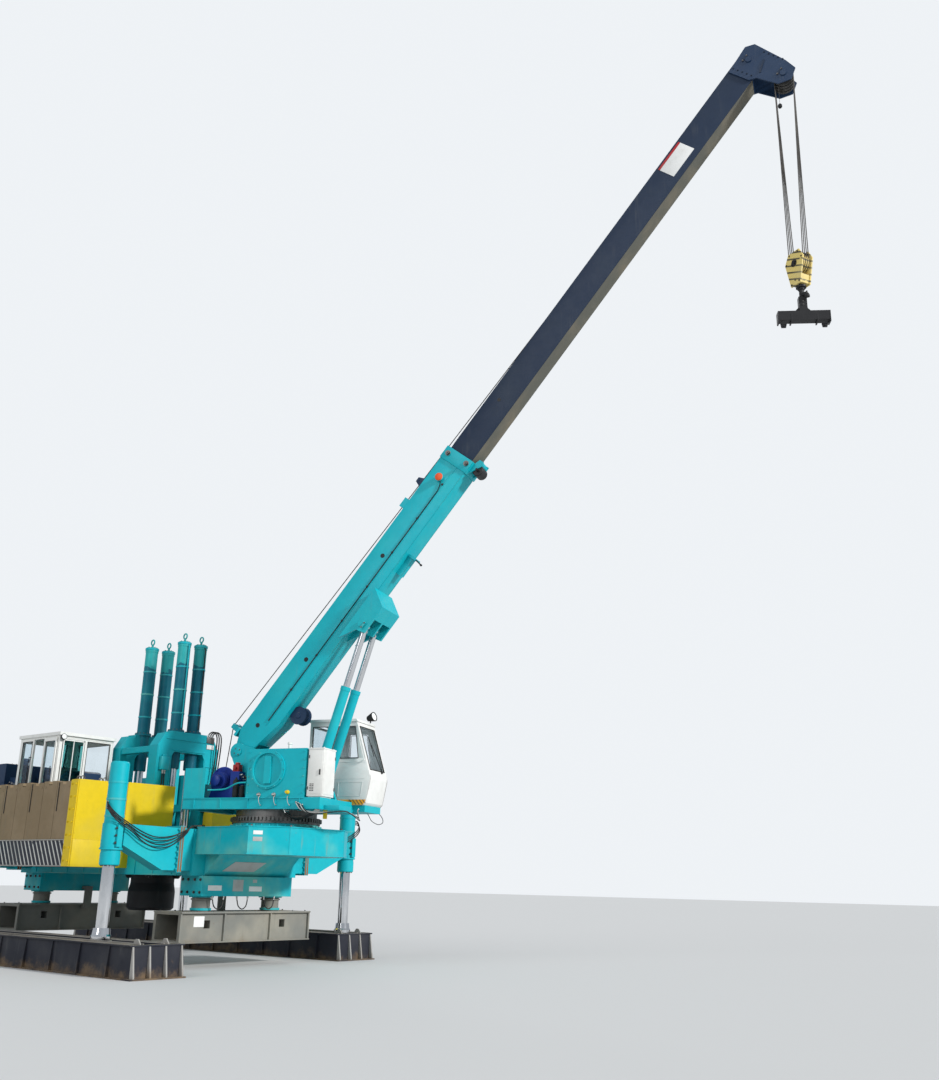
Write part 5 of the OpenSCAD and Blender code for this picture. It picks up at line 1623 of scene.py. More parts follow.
@dataclass
class CraneCab:
    """The crane's cab: walls, panes, seals, wiper, handles, seat, lamp and bottom strip."""

    side: float = 0.62
    width: float = 1.0
    floor: float = 3.56
    roof: float = 5.53
    wall: float = 0.045
    screen_low: Pair = (2.02, 4.24)
    screen_high: Pair = (1.61, 5.53)
    view_half: float = 0.53
    view_wide: float = 0.4
    hinge_x: float = 0.895
    hinge_z: Pair = (3.82, 5.11)

    def up(self, points: Sequence[Pair]) -> list[Pair]:
        """Lifts points that are given above the floor."""
        return [(x, self.floor + z) for x, z in points]

    def screen(self) -> Matrix:
        """The frame of the sloping front, its z up the slope and its x out of the glass.

        Returns:
            The frame.
        """
        (x0, z0), (x1, z1) = self.screen_low, self.screen_high
        turn = Matrix.Rotation(math.atan2(x1 - x0, z1 - z0), 4, "Y")
        return CRANE @ Matrix.Translation(((x0 + x1) / 2, self.side + self.width / 2, (z0 + z1) / 2)) @ turn

    def shell(self) -> None:
        """Walls of frame members and panels, which stand for the CAD cab."""
        y0, y1, t = self.side, self.side + self.width, self.wall
        z0, z1 = self.floor, self.roof
        box = Sketch("crane")
        near = (
            [
                (0.7, 0), (1.87, 0), (1.93, 0.06), (2.03, 0.6), (2.02, 0.68), (1.893, 1.08), (0.4, 1.08), (0.4, 0.6),
                (0.7, 0.35),
            ],
            [(0.4, 1.08), (0.48, 1.08), (0.48, 1.82), (0.4, 1.82)],
            [(0.87, 1.08), (0.95, 1.08), (0.95, 1.82), (0.87, 1.82)],
            [(1.7, 1.08), (1.893, 1.08), (1.658, 1.82), (1.59, 1.82)],
            [(0.4, 1.82), (1.658, 1.82), (1.61, 1.97), (0.4, 1.97)],
        )
        far = (
            [(0.4, 0.6), (0.7, 0.35), (0.7, 0), (0.9, 0), (0.9, 1.97), (0.4, 1.97)],
            [(0.9, 0), (1.87, 0), (1.93, 0.06), (0.9, 0.06)],
            [(1.64, 0.06), (1.93, 0.06), (2.03, 0.6), (2.02, 0.68), (1.648, 1.85), (1.52, 1.85), (1.7, 0.9)],
            [(0.9, 1.85), (1.648, 1.85), (1.61, 1.97), (0.9, 1.97)],
        )
        across = (
            [
                (0.7, 0), (1.87, 0), (1.93, 0.06), (2.03, 0.6), (2.02, 0.68), (1.975, 0.68), (1.985, 0.6),
                (1.885, 0.07), (1.86, t), (0.7, t),
            ],
            [(0.7, t), (0.745, t), (0.745, 0.37), (0.445, 0.62), (0.445, 1.1), (0.4, 1.1), (0.4, 0.6), (0.7, 0.35)],
            [(0.4, 1.925), (1.624, 1.925), (1.61, 1.97), (0.4, 1.97)],
        )
        for points in near:
            box.outline(self.up(points), y0, y0 + t, 0.002)
        for points in far:
            box.outline(self.up(points), y1 - t, y1, 0.002)
        for points in across:
            box.outline(self.up(points), y0 + 0.002, y1 - 0.002, 0.002)
        box.outline(self.up([(0.37, 1.93), (1.655, 1.93), (1.61, 2.0), (0.37, 2.0)]), y0 - 0.025, y1 + 0.025, 0.008)
        for a, b in ((y0 + 0.002, y0 + 0.12), (y1 - 0.12, y1 - 0.002)):
            box.block((0.4, a, z0 + 1.1), (0.445, b, z1 - 0.1), 0.002)
        box.block((0.4, y0 + 0.12, z0 + 1.82), (0.445, y1 - 0.12, z1 - 0.1), 0.002)
        for z in self.hinge_z:
            box.block((self.hinge_x - 0.07, y1, z), (self.hinge_x, y1 + 0.009, z + 0.06), 0.001)
            box.bar((self.hinge_x, y1 + 0.015, z), (self.hinge_x, y1 + 0.015, z + 0.06), 0.013)
        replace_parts(box.piece("cab_shell", "white_paint", "white"), "crane_cab")
        half = (Vector(self.screen_high) - Vector(self.screen_low)).length / 2
        wide, h, w = self.width / 2 - 0.002, self.view_half, self.view_wide
        rim = Sketch("crane", self.screen())
        for low, high in (
            ((-t, -wide, -half), (0, wide, -h)), ((-t, -wide, h), (0, wide, half)), ((-t, -wide, -h), (0, -w, h)),
            ((-t, w, -h), (0, wide, h)),
        ):
            rim.block(low, high, 0.002)
        rim.piece("cab_front", "white_paint", "white")

    def panes(self) -> None:
        """The panes, which stand for the CAD ones."""
        y0, y1 = self.side, self.side + self.width
        glass = Sketch("crane")
        for points in self.windows():
            glass.outline(self.up(points), y0 + 0.018, y0 + 0.026, 0)
        glass.block((0.418, y0 + 0.12, self.floor + 1.1), (0.426, y1 - 0.12, self.floor + 1.82), 0)
        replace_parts(glass.piece("cab_panes", "clear_glass", "glass"), "crane_cab_glass")
        Sketch("crane", self.screen()).block(
            (-0.028, -self.view_wide, -self.view_half), (-0.02, self.view_wide, self.view_half), 0
        ).piece("cab_screen", "clear_glass", "glass")

    def windows(self) -> list[list[Pair]]:
        """Outlines of the near side's windows.

        Returns:
            The outlines.
        """
        return [
            [(0.95, 1.08), (1.7, 1.08), (1.59, 1.82), (0.95, 1.82)],
            [(0.48, 1.08), (0.87, 1.08), (0.87, 1.82), (0.48, 1.82)],
        ]

    def lamp(self) -> None:
        """The work lamp on the roof's front corner, which stands for the CAD one."""
        y = self.side + self.width - 0.07
        place = CRANE @ Matrix.Translation(
            (1.54, y, self.roof + 0.18)
        ) @ Matrix.Rotation(math.radians(-10), 4, "Z") @ Matrix.Rotation(math.radians(75), 4, "Y")
        can = Sketch("crane", place).turned(
            [
                (0, -0.1), (0.045, -0.095), (0.065, -0.08), (0.115, 0.085), (0.115, 0.1), (0.117, 0.1), (0.12, 0.104),
                (0.117, 0.112), (0.1, 0.112), (0.1, 0.1), (0, 0.1),
            ],
            (0, 0, 0),
        )
        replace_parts(can.piece("lamp_can", "black_paint", "graphite"), "work_lamp")
        Sketch("crane", place).turned(
            [(0.099, 0.1005), (0.08, 0.109), (0.04, 0.114), (0, 0.115)], (0, 0, 0)
        ).piece("lamp_lens", "lamp_glass")
        post = Sketch("crane").bar((1.54, y, self.roof + 0.025), (1.54, y, self.roof + 0.12), 0.016)
        post.block((1.5, y - 0.04, self.roof + 0.028), (1.58, y + 0.04, self.roof + 0.036), 0.002)
        post.piece("lamp_post", "black_paint")

    def trims(self, fit: Fittings) -> None:
        """Seals, panel lines, handles, the bottom strip and the wiper.

        Args:
            fit: what gathers its bolts, slats and pipes.
        """
        y0, y1, z0 = self.side, self.side + self.width, self.floor
        for points in self.windows():
            fit.pipe("crane", loop([(x, y0 - 0.002, z) for x, z in self.up(points)]), 0.012)
        for inset in (0.0, 0.03):
            rim = [
                (0.98 + inset, 0.95 + inset), (1.59 - inset, 0.95 + inset), (1.46 - inset, 1.76 - inset),
                (0.98 + inset, 1.76 - inset),
            ]
            fit.pipe("cab_door", loop([(x, y1 - 0.002, z) for x, z in self.up(rim)]), 0.01)
        slope, h, w = self.screen(), self.view_half, self.view_wide
        fit.pipe("crane", loop([(0.002, -w, -h), (0.002, w, -h), (0.002, w, h), (0.002, -w, h)]), 0.014, place=slope)
        wiper = Sketch("crane", slope).bar(
            (0.02, 0.22, -h - 0.03), (0.03, -0.04, 0.1), 0.008
        ).bar((0.018, -0.02, -0.18), (0.018, -0.08, 0.3), 0.009)
        wiper.turned([(0.03, -0.02), (0.03, 0.02), (0, 0.03)], (0.01, 0.22, -h - 0.03), (1, 0, 0), 16)
        wiper.piece("cab_wiper", "black_paint")
        fit.pipe(
            "crane", [(0.8, y1 + 0.01, 4.62), (0.8, y1 + 0.06, 4.62), (0.8, y1 + 0.06, 5.22), (0.8, y1 + 0.01, 5.22)],
            0.014, "black_paint",
        )
        fit.pipe(
            "crane",
            spline(
                [(1.86, y0 - 0.005, 4.6), (1.87, y0 - 0.05, 4.62), (1.72, y0 - 0.05, 5.08), (1.7, y0 - 0.005, 5.1)], 4
            ),
            0.012, "white_paint",
        )
        fit.pipe(
            "crane",
            loop([(x, y0 - 0.001, z) for x, z in self.up([(1.22, 0.2), (1.8, 0.2), (1.84, 0.52), (1.22, 0.52)])]),
            0.006, "white_paint",
        )
        Sketch("cab_door").block((1.56, y1, 4.44), (1.62, y1 + 0.03, 4.52), 0.006).piece("door_handle", "black_paint")
        strip = Sketch("crane").outline(
            self.up([(0.71, 0.004), (1.5, 0.004), (1.5, 0.125), (0.71, 0.125)]), y0 - 0.006, y0, 0.001
        )
        strip.piece("cab_strip", "amber_paint")
        strip = Sketch("crane").outline(
            self.up([(1.5, 0.004), (1.865, 0.004), (1.925, 0.062), (1.938, 0.125), (1.5, 0.125)]), y0 - 0.006, y0, 0.001
        )
        strip.piece("cab_striped_end", "cab_stripes")
        trims = Sketch("crane")
        for z in (z0 + 0.6, z0 + 0.98):
            trims.block((0.42, y0 - 0.005, z), (1.9, y0, z + 0.012), 0.002)
        trims.block((0.905, y0 - 0.006, z0 + 0.61), (0.925, y0, self.roof - 0.05), 0.002)
        trims.block((0.9, y0 + 0.2, self.roof + 0.03), (1.3, y0 + 0.75, self.roof + 0.07), 0.012)
        trims.piece("cab_trims", "white_paint", "white")

    def build(self, fit: Fittings) -> None:
        """Builds and dresses the cab.

        Args:
            fit: what gathers its bolts, slats and pipes.
        """
        self.shell()
        self.panes()
        self.lamp()
        self.trims(fit)
        seat("crane_seat", "crane", CRANE @ Matrix.Translation((1.12, self.side + self.width / 2, self.floor + 0.045)))
        hose(
            "cab_cable", "crane",
            [
                (1.8, 1.585, 3.5), (1.83, 1.62, 3.44), (1.92, 1.64, 3.33), (1.95, 1.62, 3.22), (1.88, 1.52, 3.17),
                (1.76, 1.42, 3.24), (1.72, 1.34, 3.34), (1.7, 1.3, 3.4),
            ],
            0.016, 4,
        )


@dataclass
class Legs:
    """Pipes, clamps, glands and hoses of the four legs and their arms."""

    x: float = LEG_X
    y: float = LEG_Y
    r: float = 0.2
    gland: float = 2.102
    top: float = 4.237
    arm: float = 0.2
    joint: float = 1.9

    def leg(self, fit: Fittings, sx: int, sy: int, parts: Sketch, rusty: Sketch, pipes: str) -> None:
        """Dresses one leg cylinder and its arm.

        Args:
            fit: what gathers its bolts, slats and pipes.
            sx: one in front, minus one behind.
            sy: one on the left, minus one on the right.
            parts: the sketch of the legs' bands.
            rusty: the sketch of the flanges' edges.
            pipes: finish of the legs' pipes.
        """
        x, y = sx * self.x, sy * self.y

        def at(dx: float, dy: float, z: float) -> Point:
            """A place given from the leg's middle, outwards."""
            return (x + sx * dx, y + sy * dy, z)

        fit.bolt("chassis", ring((x, y, self.gland), (0, 0, -1), 0.165, 12), 0.032)
        fit.bolt("chassis", ring((x, y, self.top - 0.012), UP, 0.12, 8), 0.034, "teal_worn")
        for z in (3.1, 3.45, 3.8):
            parts.turned(band(self.r, 0.022), (x, y, z), UP, 40)
            parts.block(at(-self.r - 0.05, -0.03, z - 0.02), at(-self.r, 0.03, z + 0.02))
        fit.pipe("chassis", [at(-self.r - 0.03, 0, 3.83), at(-self.r - 0.03, 0, 3.0)], 0.016, pipes)
        fit.bolt(
            "chassis", [(at(-self.r - 0.06, 0, 3.855), (-sx, 0, 0)), (at(-self.r - 0.06, 0, 3.925), (-sx, 0, 0))], 0.05
        )
        for dx, z in product((-0.235, 0.235), (2.55, 2.7, 2.85)):
            fit.bolt("chassis", [(at(dx, 0.06, z), (0, sy, 0)), (at(dx, -0.06, z), (0, -sy, 0))], 0.044)
        edge = self.arm + 0.03
        for dx, way in product((-edge, edge), SIDES):
            side = sy * (self.joint + way * 0.06)
            heads = row((x + dx, side, 2.06), (x + dx, side, 2.9), 8, (0, way * sy, 0))
            fit.bolt("chassis", heads, 0.044, "teal_worn")
        for way, joint in product(SIDES, (self.joint - 0.032, self.joint + 0.03)):
            side = x + way * (edge + 0.03)
            rusty.block((side, sy * (joint - 0.022), 2.0), (side + way * 0.002, sy * (joint + 0.022), 2.965), 0)
        foot = "right_legs" if sy < 0 else "left_legs"
        ball = Sketch(foot).turned([(0.2, 0.0), (0.228, 0.004), (0.228, 0.045), (0.2, 0.05)], (x, y, 0.575), UP, 40)
        ball.piece(f"foot_ring_{corner_name(sx, sy)}", "shoe_grey", "steel")
        fit.bolt(foot, ring((x, y, 0.7), UP, 0.196, 12), 0.02)

    def hoses(self) -> None:
        """The hoses that drape from each leg's port block over its arm to the platform."""
        for sx, sy in CORNERS:
            for i in range(4 if sx * sy < 0 else 3):
                low, out = 0.045 * i, 0.016 * i
                run = [
                    (0.02, 0.216, 3.39 - low), (0.1 + out, 0.27, 3.36 - low), (0.21 + out, 0.22, 3.23 - low),
                    (0.265 + out, 0.04, 3.08 - low),
                    (0.27 + out, -0.24, 2.94 - low), (0.262 + out, -0.56, 2.8 - 1.5 * low),
                    (0.262 + out, -0.91, 2.71 - 1.7 * low),
                    (0.268 + out, -1.3, 2.74 - 1.4 * low), (0.285 + out, -1.62, 2.86 - 0.6 * low),
                    (0.275, -1.85 + out, 2.968),
                    (0.2 - out, -2.02 + out, 2.985), (0.07 - 0.04 * i, -2.17, 2.957), (0.02 - 0.04 * i, -2.235, 2.952),
                ]
                hose(
                    f"leg_hose_{corner_name(sx, sy)}_{i}", "chassis",
                    [(sx * (self.x + a), sy * (self.y + b), c) for a, b, c in run], 0.026, 4,
                )

    def carriers(self) -> None:
        """Carrier beams, drums and hooked hangers over the short shoes, which stand for the CAD ones."""
        beams, drums = Sketch(), Sketch()
        for s in SIDES:
            beams.block((s * (self.x - 0.38), -1.33, 1.5), (s * (self.x + 0.38), 1.33, 1.93))
            for end in SIDES:
                drums.turned(
                    [(0.205, 0), (0.205, 0.24), (0.232, 0.245), (0.232, 0.275), (0.205, 0.28), (0.205, 0.3295)],
                    (s * self.x, end * 1.02, 1.1705), UP, 48,
                )
            for a, b, low, high in (
                (-0.548, -0.508, 1.06, 1.62), (-0.508, -0.34, 1.54, 1.62), (-0.508, -0.44, 1.06, 1.1395)
            ):
                drums.block((s * (self.x + a), -0.11, low), (s * (self.x + b), 0.11, high), 0.003)
        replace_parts(beams.piece("carrier_beams", "teal_worn", "teal"), "shoe_carriers")
        drums.piece("carrier_drums", "shoe_grey", "steel")
        for i, y in enumerate((-1.0, -0.3, 0.5)):
            hose(
                f"carrier_hose_{i}", "chassis",
                [
                    (3.63, y, 1.49), (3.635, y + 0.01, 1.42), (3.645, y + 0.05, 1.29), (3.65, y + 0.16, 1.225),
                    (3.645, y + 0.27, 1.29), (3.635, y + 0.31, 1.42), (3.63, y + 0.32, 1.49),
                ],
                0.026, 4,
            )

    def build(self, fit: Fittings) -> None:
        """Builds and dresses all four legs.

        Args:
            fit: what gathers its bolts, slats and pipes.
        """
        self.carriers()
        parts, rusty = Sketch(), Sketch()
        for sx, sy in CORNERS:
            self.leg(fit, sx, sy, parts, rusty, "teal_paint")
        rusty.piece("rusty_flange_edges", "rusty_edge", "teal")
        parts.piece("leg_bands", "teal_worn", "teal")
        manifold = Sketch()
        for sx, sy in CORNERS:
            manifold.block((sx * (self.x - 0.17), sy * 1.17, 2.93), (sx * (self.x + 0.09), sy * 1.27, 3.03), 0.006)
        manifold.piece("hose_manifolds", "greasy_steel", "steel")
        self.hoses()


@dataclass
class Platform:
    """Plates, seams, bolts and edges of the platform, the pedestal and the carriers."""

    half: float = 1.55
    facet: float = 0.825
    wide: float = 1.5
    flat: float = 0.826
    oct_x: float = PEDESTAL_X
    front: float = 1.396
    rear: float = 3.53

    def plates(self) -> None:
        """Blank plates on the pedestal and its carrier."""
        x = self.oct_x
        a, b = Vector((x + self.flat, -self.wide, 0)), Vector((x + self.front, -self.facet, 0))
        way = (b - a).normalized()
        out = Vector((way.y, -way.x, 0))
        facet = Matrix(((way.x, out.x, 0, a.x), (way.y, out.y, 0, a.y), (0, 0, 1, 0), (0, 0, 0, 1)))
        Sketch(place=facet).block((0.1, 0, 2.8), (0.3, 0.006, 2.88), 0.002).piece("pedestal_plate_white", "blank_plate")
        Sketch(place=facet).block((0.1, 0, 2.66), (0.3, 0.006, 2.75), 0.002).piece("pedestal_plate_grey", "grey_plate")
        lower = Matrix.Translation((self.rear + 0.245, 0, 2.159)) @ Matrix.Rotation(-math.atan2(0.458, 0.49), 4, "Y")
        Sketch(place=lower).outline(
            [(-0.17, -0.8), (0.13, -0.62), (0.13, 0.3), (-0.17, 0.12)], -0.007, -0.001, 0.001, Facing.XY
        ).piece("under_plate", "grey_plate")
        marks = Sketch()
        for y0, y1, z0, z1 in ((-1.16, -0.78, 1.62, 1.73), (0.02, 0.4, 1.61, 1.72)):
            marks.block((3.655, y0, z0), (3.661, y1, z1), 0.001)
        marks.piece("carrier_strips", "blank_plate")
        Sketch().block(
            (3.655, -0.46, 1.61), (3.662, -0.16, 1.86), 0.001
        ).block((3.655, 0.12, 1.8), (3.661, 0.24, 1.87), 0.001).piece("carrier_plate", "grey_plate")

    def seams(self, fit: Fittings) -> None:
        """Weld seams, edge bars and carrier bolts.

        Args:
            fit: what gathers its bolts, slats and pipes.
        """
        flat, front = self.oct_x + self.flat, self.oct_x + self.front
        for x, y in ((flat, -self.wide), (front, -self.facet), (front, self.facet), (flat, self.wide)):
            fit.pipe("chassis", [(x, y, 2.41), (x, y, 2.955)], 0.008, "teal_worn")
            fit.bolt("chassis", [((x * 0.985 + 0.04, y * 0.93, 2.978), UP)], 0.05)
        bars = Sketch()
        for s in SIDES:
            y0, y1 = s * self.half, s * (self.half + 0.018)
            for z in (1.93, 2.905):
                bars.block((-3.0, y0, z), (3.0, y1, z + 0.025), 0.003)
            for i in range(9):
                bars.block((-2.8 + 0.7 * i, y0, 1.955), (-2.78 + 0.7 * i, y1, 2.905), 0.002)
        bars.piece("platform_ribs", "teal_worn", "teal")
        for sx, sy in CORNERS:
            fit.bolt(
                "chassis",
                [((sx * x, sy * 1.33, z), (0, sy, 0)) for x in (2.96, 3.16, 3.39, 3.59) for z in (1.58, 1.85)], 0.05,
            )
            fit.bolt(
                "chassis", [((sx * x, sy * y, 2.97), UP) for x in (0.6, 1.01) for y in (0.53, 0.66, 0.79, 0.92)], 0.045
            )
            fit.bolt("chassis", ring((sx * LEG_X, sy * 1.02, 1.497), (0, 0, -1), 0.24, 8))
        drums = Sketch()
        for sx, sy in CORNERS:
            drums.turned(
                [(0.215, 0), (0.275, 0.002), (0.275, 0.03), (0.215, 0.032)], (sx * LEG_X, sy * 1.02, 1.468), UP, 36
            )
            drums.turned(
                [(0.215, 0), (0.235, 0.004), (0.235, 0.05), (0.215, 0.054)], (sx * LEG_X, sy * 1.02, 1.19), UP, 36
            )
        drums.piece("drum_rings", "teal_worn", "teal")

    def build(self, fit: Fittings) -> None:
        """Builds and dresses the platform."""
        self.plates()
        self.seams(fit)


@dataclass
class Press:
    """Bolts, pipes and hoses of the press cylinders, the portals and the clamp head."""

    x: float = 0.7
    y: float = 0.264
    r: float = 0.16
    flange: float = 5.46
    top: float = 7.766
    face: float = 0.95

    def barrels(self, fit: Fittings) -> None:
        """Flange bolts, top ports, side pipes and clamps.

        Args:
            fit: what gathers its bolts, slats and pipes.
        """
        parts = Sketch()
        for sx, sy in CORNERS:
            x, y = sx * self.x, sy * self.y
            fit.bolt("chassis", ring((x, y, self.flange), UP, self.r + 0.026, 12), 0.034)
            fit.bolt("chassis", ring((x, y, self.top), UP, 0.11, 8), 0.03)
            side = x + sx * (self.r + 0.045)
            fit.pipe(
                "chassis",
                spline(
                    [
                        (x + sx * self.r * 0.7, y, self.top - 0.1), (side - sx * 0.01, y, self.top - 0.11),
                        (side, y, self.top - 0.2), (side, y, 7.2), (side, y, 6.4), (side, y, 5.62), (side, y, 5.52),
                    ],
                    5,
                ),
                0.017, "hose_rubber" if sy > 0 else "teal_paint",
            )
            for z in (5.9, 6.5, 7.1):
                parts.turned(band(self.r, 0.02), (x, y, z), UP, 36)
                parts.block((x + sx * self.r, y - 0.025, z - 0.016), (side + sx * 0.025, y + 0.025, z + 0.016))
            parts.turned(band(self.r + 0.01, 0.028), (x, y, self.top - 0.047), UP, 36)
        parts.piece("press_bands", "teal_worn", "teal")

    def portals(self) -> None:
        """Ribs, boxes, blank plate and hoses on the portals."""
        parts = Sketch()
        for sx in SIDES:
            x0, x1 = sx * self.face, sx * (self.face + 0.018)
            for sy in SIDES:
                parts.block((x0, sy * 0.52, 2.97), (x1, sy * 0.54, 4.78), 0.003)
                parts.block((x0, sy * 0.9, 2.97), (x1, sy * 0.92, 5.02), 0.003)
                for z in (3.5, 4.05, 4.6):
                    parts.block((x0, sy * 0.54, z), (x1, sy * 0.9, z + 0.018), 0.003)
            parts.block((x0, -0.7, 5.2), (x1, 0.7, 5.22), 0.003).block((x0, -0.5, 4.93), (x1, 0.5, 4.95), 0.003)
        parts.piece("portal_ribs", "teal_paint", "teal")
        Sketch().block(
            (0.95, -0.86, 4.42), (1.05, -0.6, 4.74), 0.012
        ).block((0.95, -0.8, 4.74), (1.01, -0.66, 4.8), 0.006).piece("pylon_box", "teal_worn", "teal")
        Sketch().block((0.968, 0.54, 5.06), (0.973, 0.76, 5.17), 0.001).piece("crosshead_plate", "blank_plate")
        for i in range(2):
            hose(
                f"pylon_hose_{i}", "chassis",
                [
                    (0.972, -0.69 - 0.06 * i, 4.41), (0.975, -0.69 - 0.06 * i, 4.3), (1.0, -0.7 - 0.07 * i, 3.9),
                    (1.01, -0.71 - 0.08 * i, 3.4), (1.03, -0.72 - 0.08 * i, 3.05), (1.05, -0.8 - 0.06 * i, 2.965),
                    (1.02, -1.05 - 0.06 * i, 2.955), (0.9, -1.25 - 0.05 * i, 2.955), (0.7, -1.3 - 0.05 * i, 2.955),
                ],
                0.032, 4,
            )
        for i in range(3):
            y = 0.58 + 0.07 * i
            hose(
                f"portal_hose_{i}", "chassis",
                [
                    (0.93, y, 5.36), (0.96, y + 0.02, 5.46), (1.06, y + 0.08, 5.5), (1.13, y + 0.14, 5.35),
                    (1.1, y + 0.16, 4.9), (1.06, y + 0.14, 4.4), (1.04, y + 0.06, 3.9), (1.01, y, 3.55),
                ],
                0.032, 4,
            )
        blocks = Sketch()
        blocks.block((0.951, 0.52, 3.47), (1.04, 0.8, 3.57), 0.006).block((0.64, -1.4, 2.93), (0.74, -1.26, 3.0), 0.006)
        blocks.block((0.88, 0.53, 5.2), (0.968, 0.77, 5.365), 0.006)
        blocks.piece("portal_manifolds", "greasy_steel", "steel")

    def head(self, fit: Fittings) -> None:
        """Bolts of the clamp head and its jaw cylinders.

        Args:
            fit: what gathers its bolts, slats and pipes.
        """
        for sx, sy in CORNERS:
            fit.bolt("press_head", ring((sx * self.x, sy * self.y, 2.63), UP, 0.127, 8), 0.02)
        caps = Sketch("press_head")
        for k in range(4):
            a = math.radians(45 + 90 * k)
            way = (math.cos(a), math.sin(a), 0)
            at = (0.63 * way[0], 0.63 * way[1], 1.98)
            caps.turned([(0.125, 0), (0.118, 0.02), (0.07, 0.024), (0.07, 0.05), (0, 0.052)], at, way, 28)
            fit.bolt("press_head", ring((0.64 * way[0], 0.64 * way[1], 1.98), way, 0.095, 8), 0.028)
        caps.piece("jaw_caps", "black_paint", "graphite")

    def build(self, fit: Fittings) -> None:
        """Builds and dresses the press.

        Args:
            fit: what gathers its bolts, slats and pipes.
        """
        self.barrels(fit)
        self.portals()
        self.head(fit)


@dataclass
class Ballast:
    """Lifting eyes, rods, ribs and bolts of the ballast."""

    y: float = 3.05
    x0: float = -2.75
    x1: float = 1.08
    end_x: float = 0.75
    count: int = 6

    def build(self, fit: Fittings) -> None:
        """Builds and dresses both sides' ballast.

        Args:
            fit: what gathers its bolts, slats and pipes.
        """
        pitch = (self.end_x - self.x0) / self.count
        eyes, rods, ribs, rims = Sketch(), Sketch(), Sketch(), Sketch()
        for s in SIDES:
            for i in range(self.count):
                x = self.x0 + (i + 0.5) * pitch
                eyes.ring((x, s * (self.y - 0.2), 3.955), (1, 0, 0), 0.042, 0.012, 20)
                eyes.bar((x, s * (self.y - 0.2), 3.9), (x, s * (self.y - 0.2), 3.925), 0.02, 12)
                if i % 2:
                    rods.bar((x - 0.2, s * (self.y + 0.006), 3.3), (x - 0.2, s * (self.y + 0.006), 3.96), 0.012, 10)
                for dx in (-0.21, 0.21):
                    ribs.turned(
                        [(0.03, 0), (0.03, 0.006), (0.018, 0.01), (0, 0.01)], (x + dx, s * self.y, 3.86), (0, s, 0), 16
                    )
            y0, y1 = s * self.y, s * (self.y + 0.02)
            rims.block((self.x0, y0, 2.07), (self.end_x + 0.01, y1, 2.095), 0.003)
            rims.block((self.x0, y0, 2.645), (self.end_x + 0.01, y1, 2.67), 0.003)
            for x in (self.end_x + 0.08, self.x1 - 0.08):
                for y in (self.y - 0.12, self.y - 0.7):
                    eyes.ring((x, s * y, 4.045), (1, 0, 0), 0.045, 0.013, 20)
                fit.bolt(
                    "chassis", row((x, s * (self.y + 0.025), 2.2), (x, s * (self.y + 0.025), 3.9), 7, (0, s, 0)), 0.04,
                    "yellow_paint",
                )
        ends = Sketch()
        for name in ("rack_right", "rack_left"):
            low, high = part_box(name)
            out = low[1] if name == "rack_right" else high[1]
            ends.block((self.x1, low[1] + 0.004, 2.072), (self.x1 + 0.006, high[1] - 0.004, 2.668), 0.001)
            ends.block((self.end_x, out, 2.072), (self.x1 + 0.006, out + math.copysign(0.006, out), 2.668), 0.001)
        ends.piece("rack_end_plates", "yellow_paint", "yellow")
        eyes.piece("lifting_eyes", "greasy_steel", "steel")
        rods.piece("slab_rods", "black_paint", "graphite")
        ribs.piece("slab_plugs", "slab_steel", "slab")
        rims.piece("rack_rims", "shoe_edge", "steel")


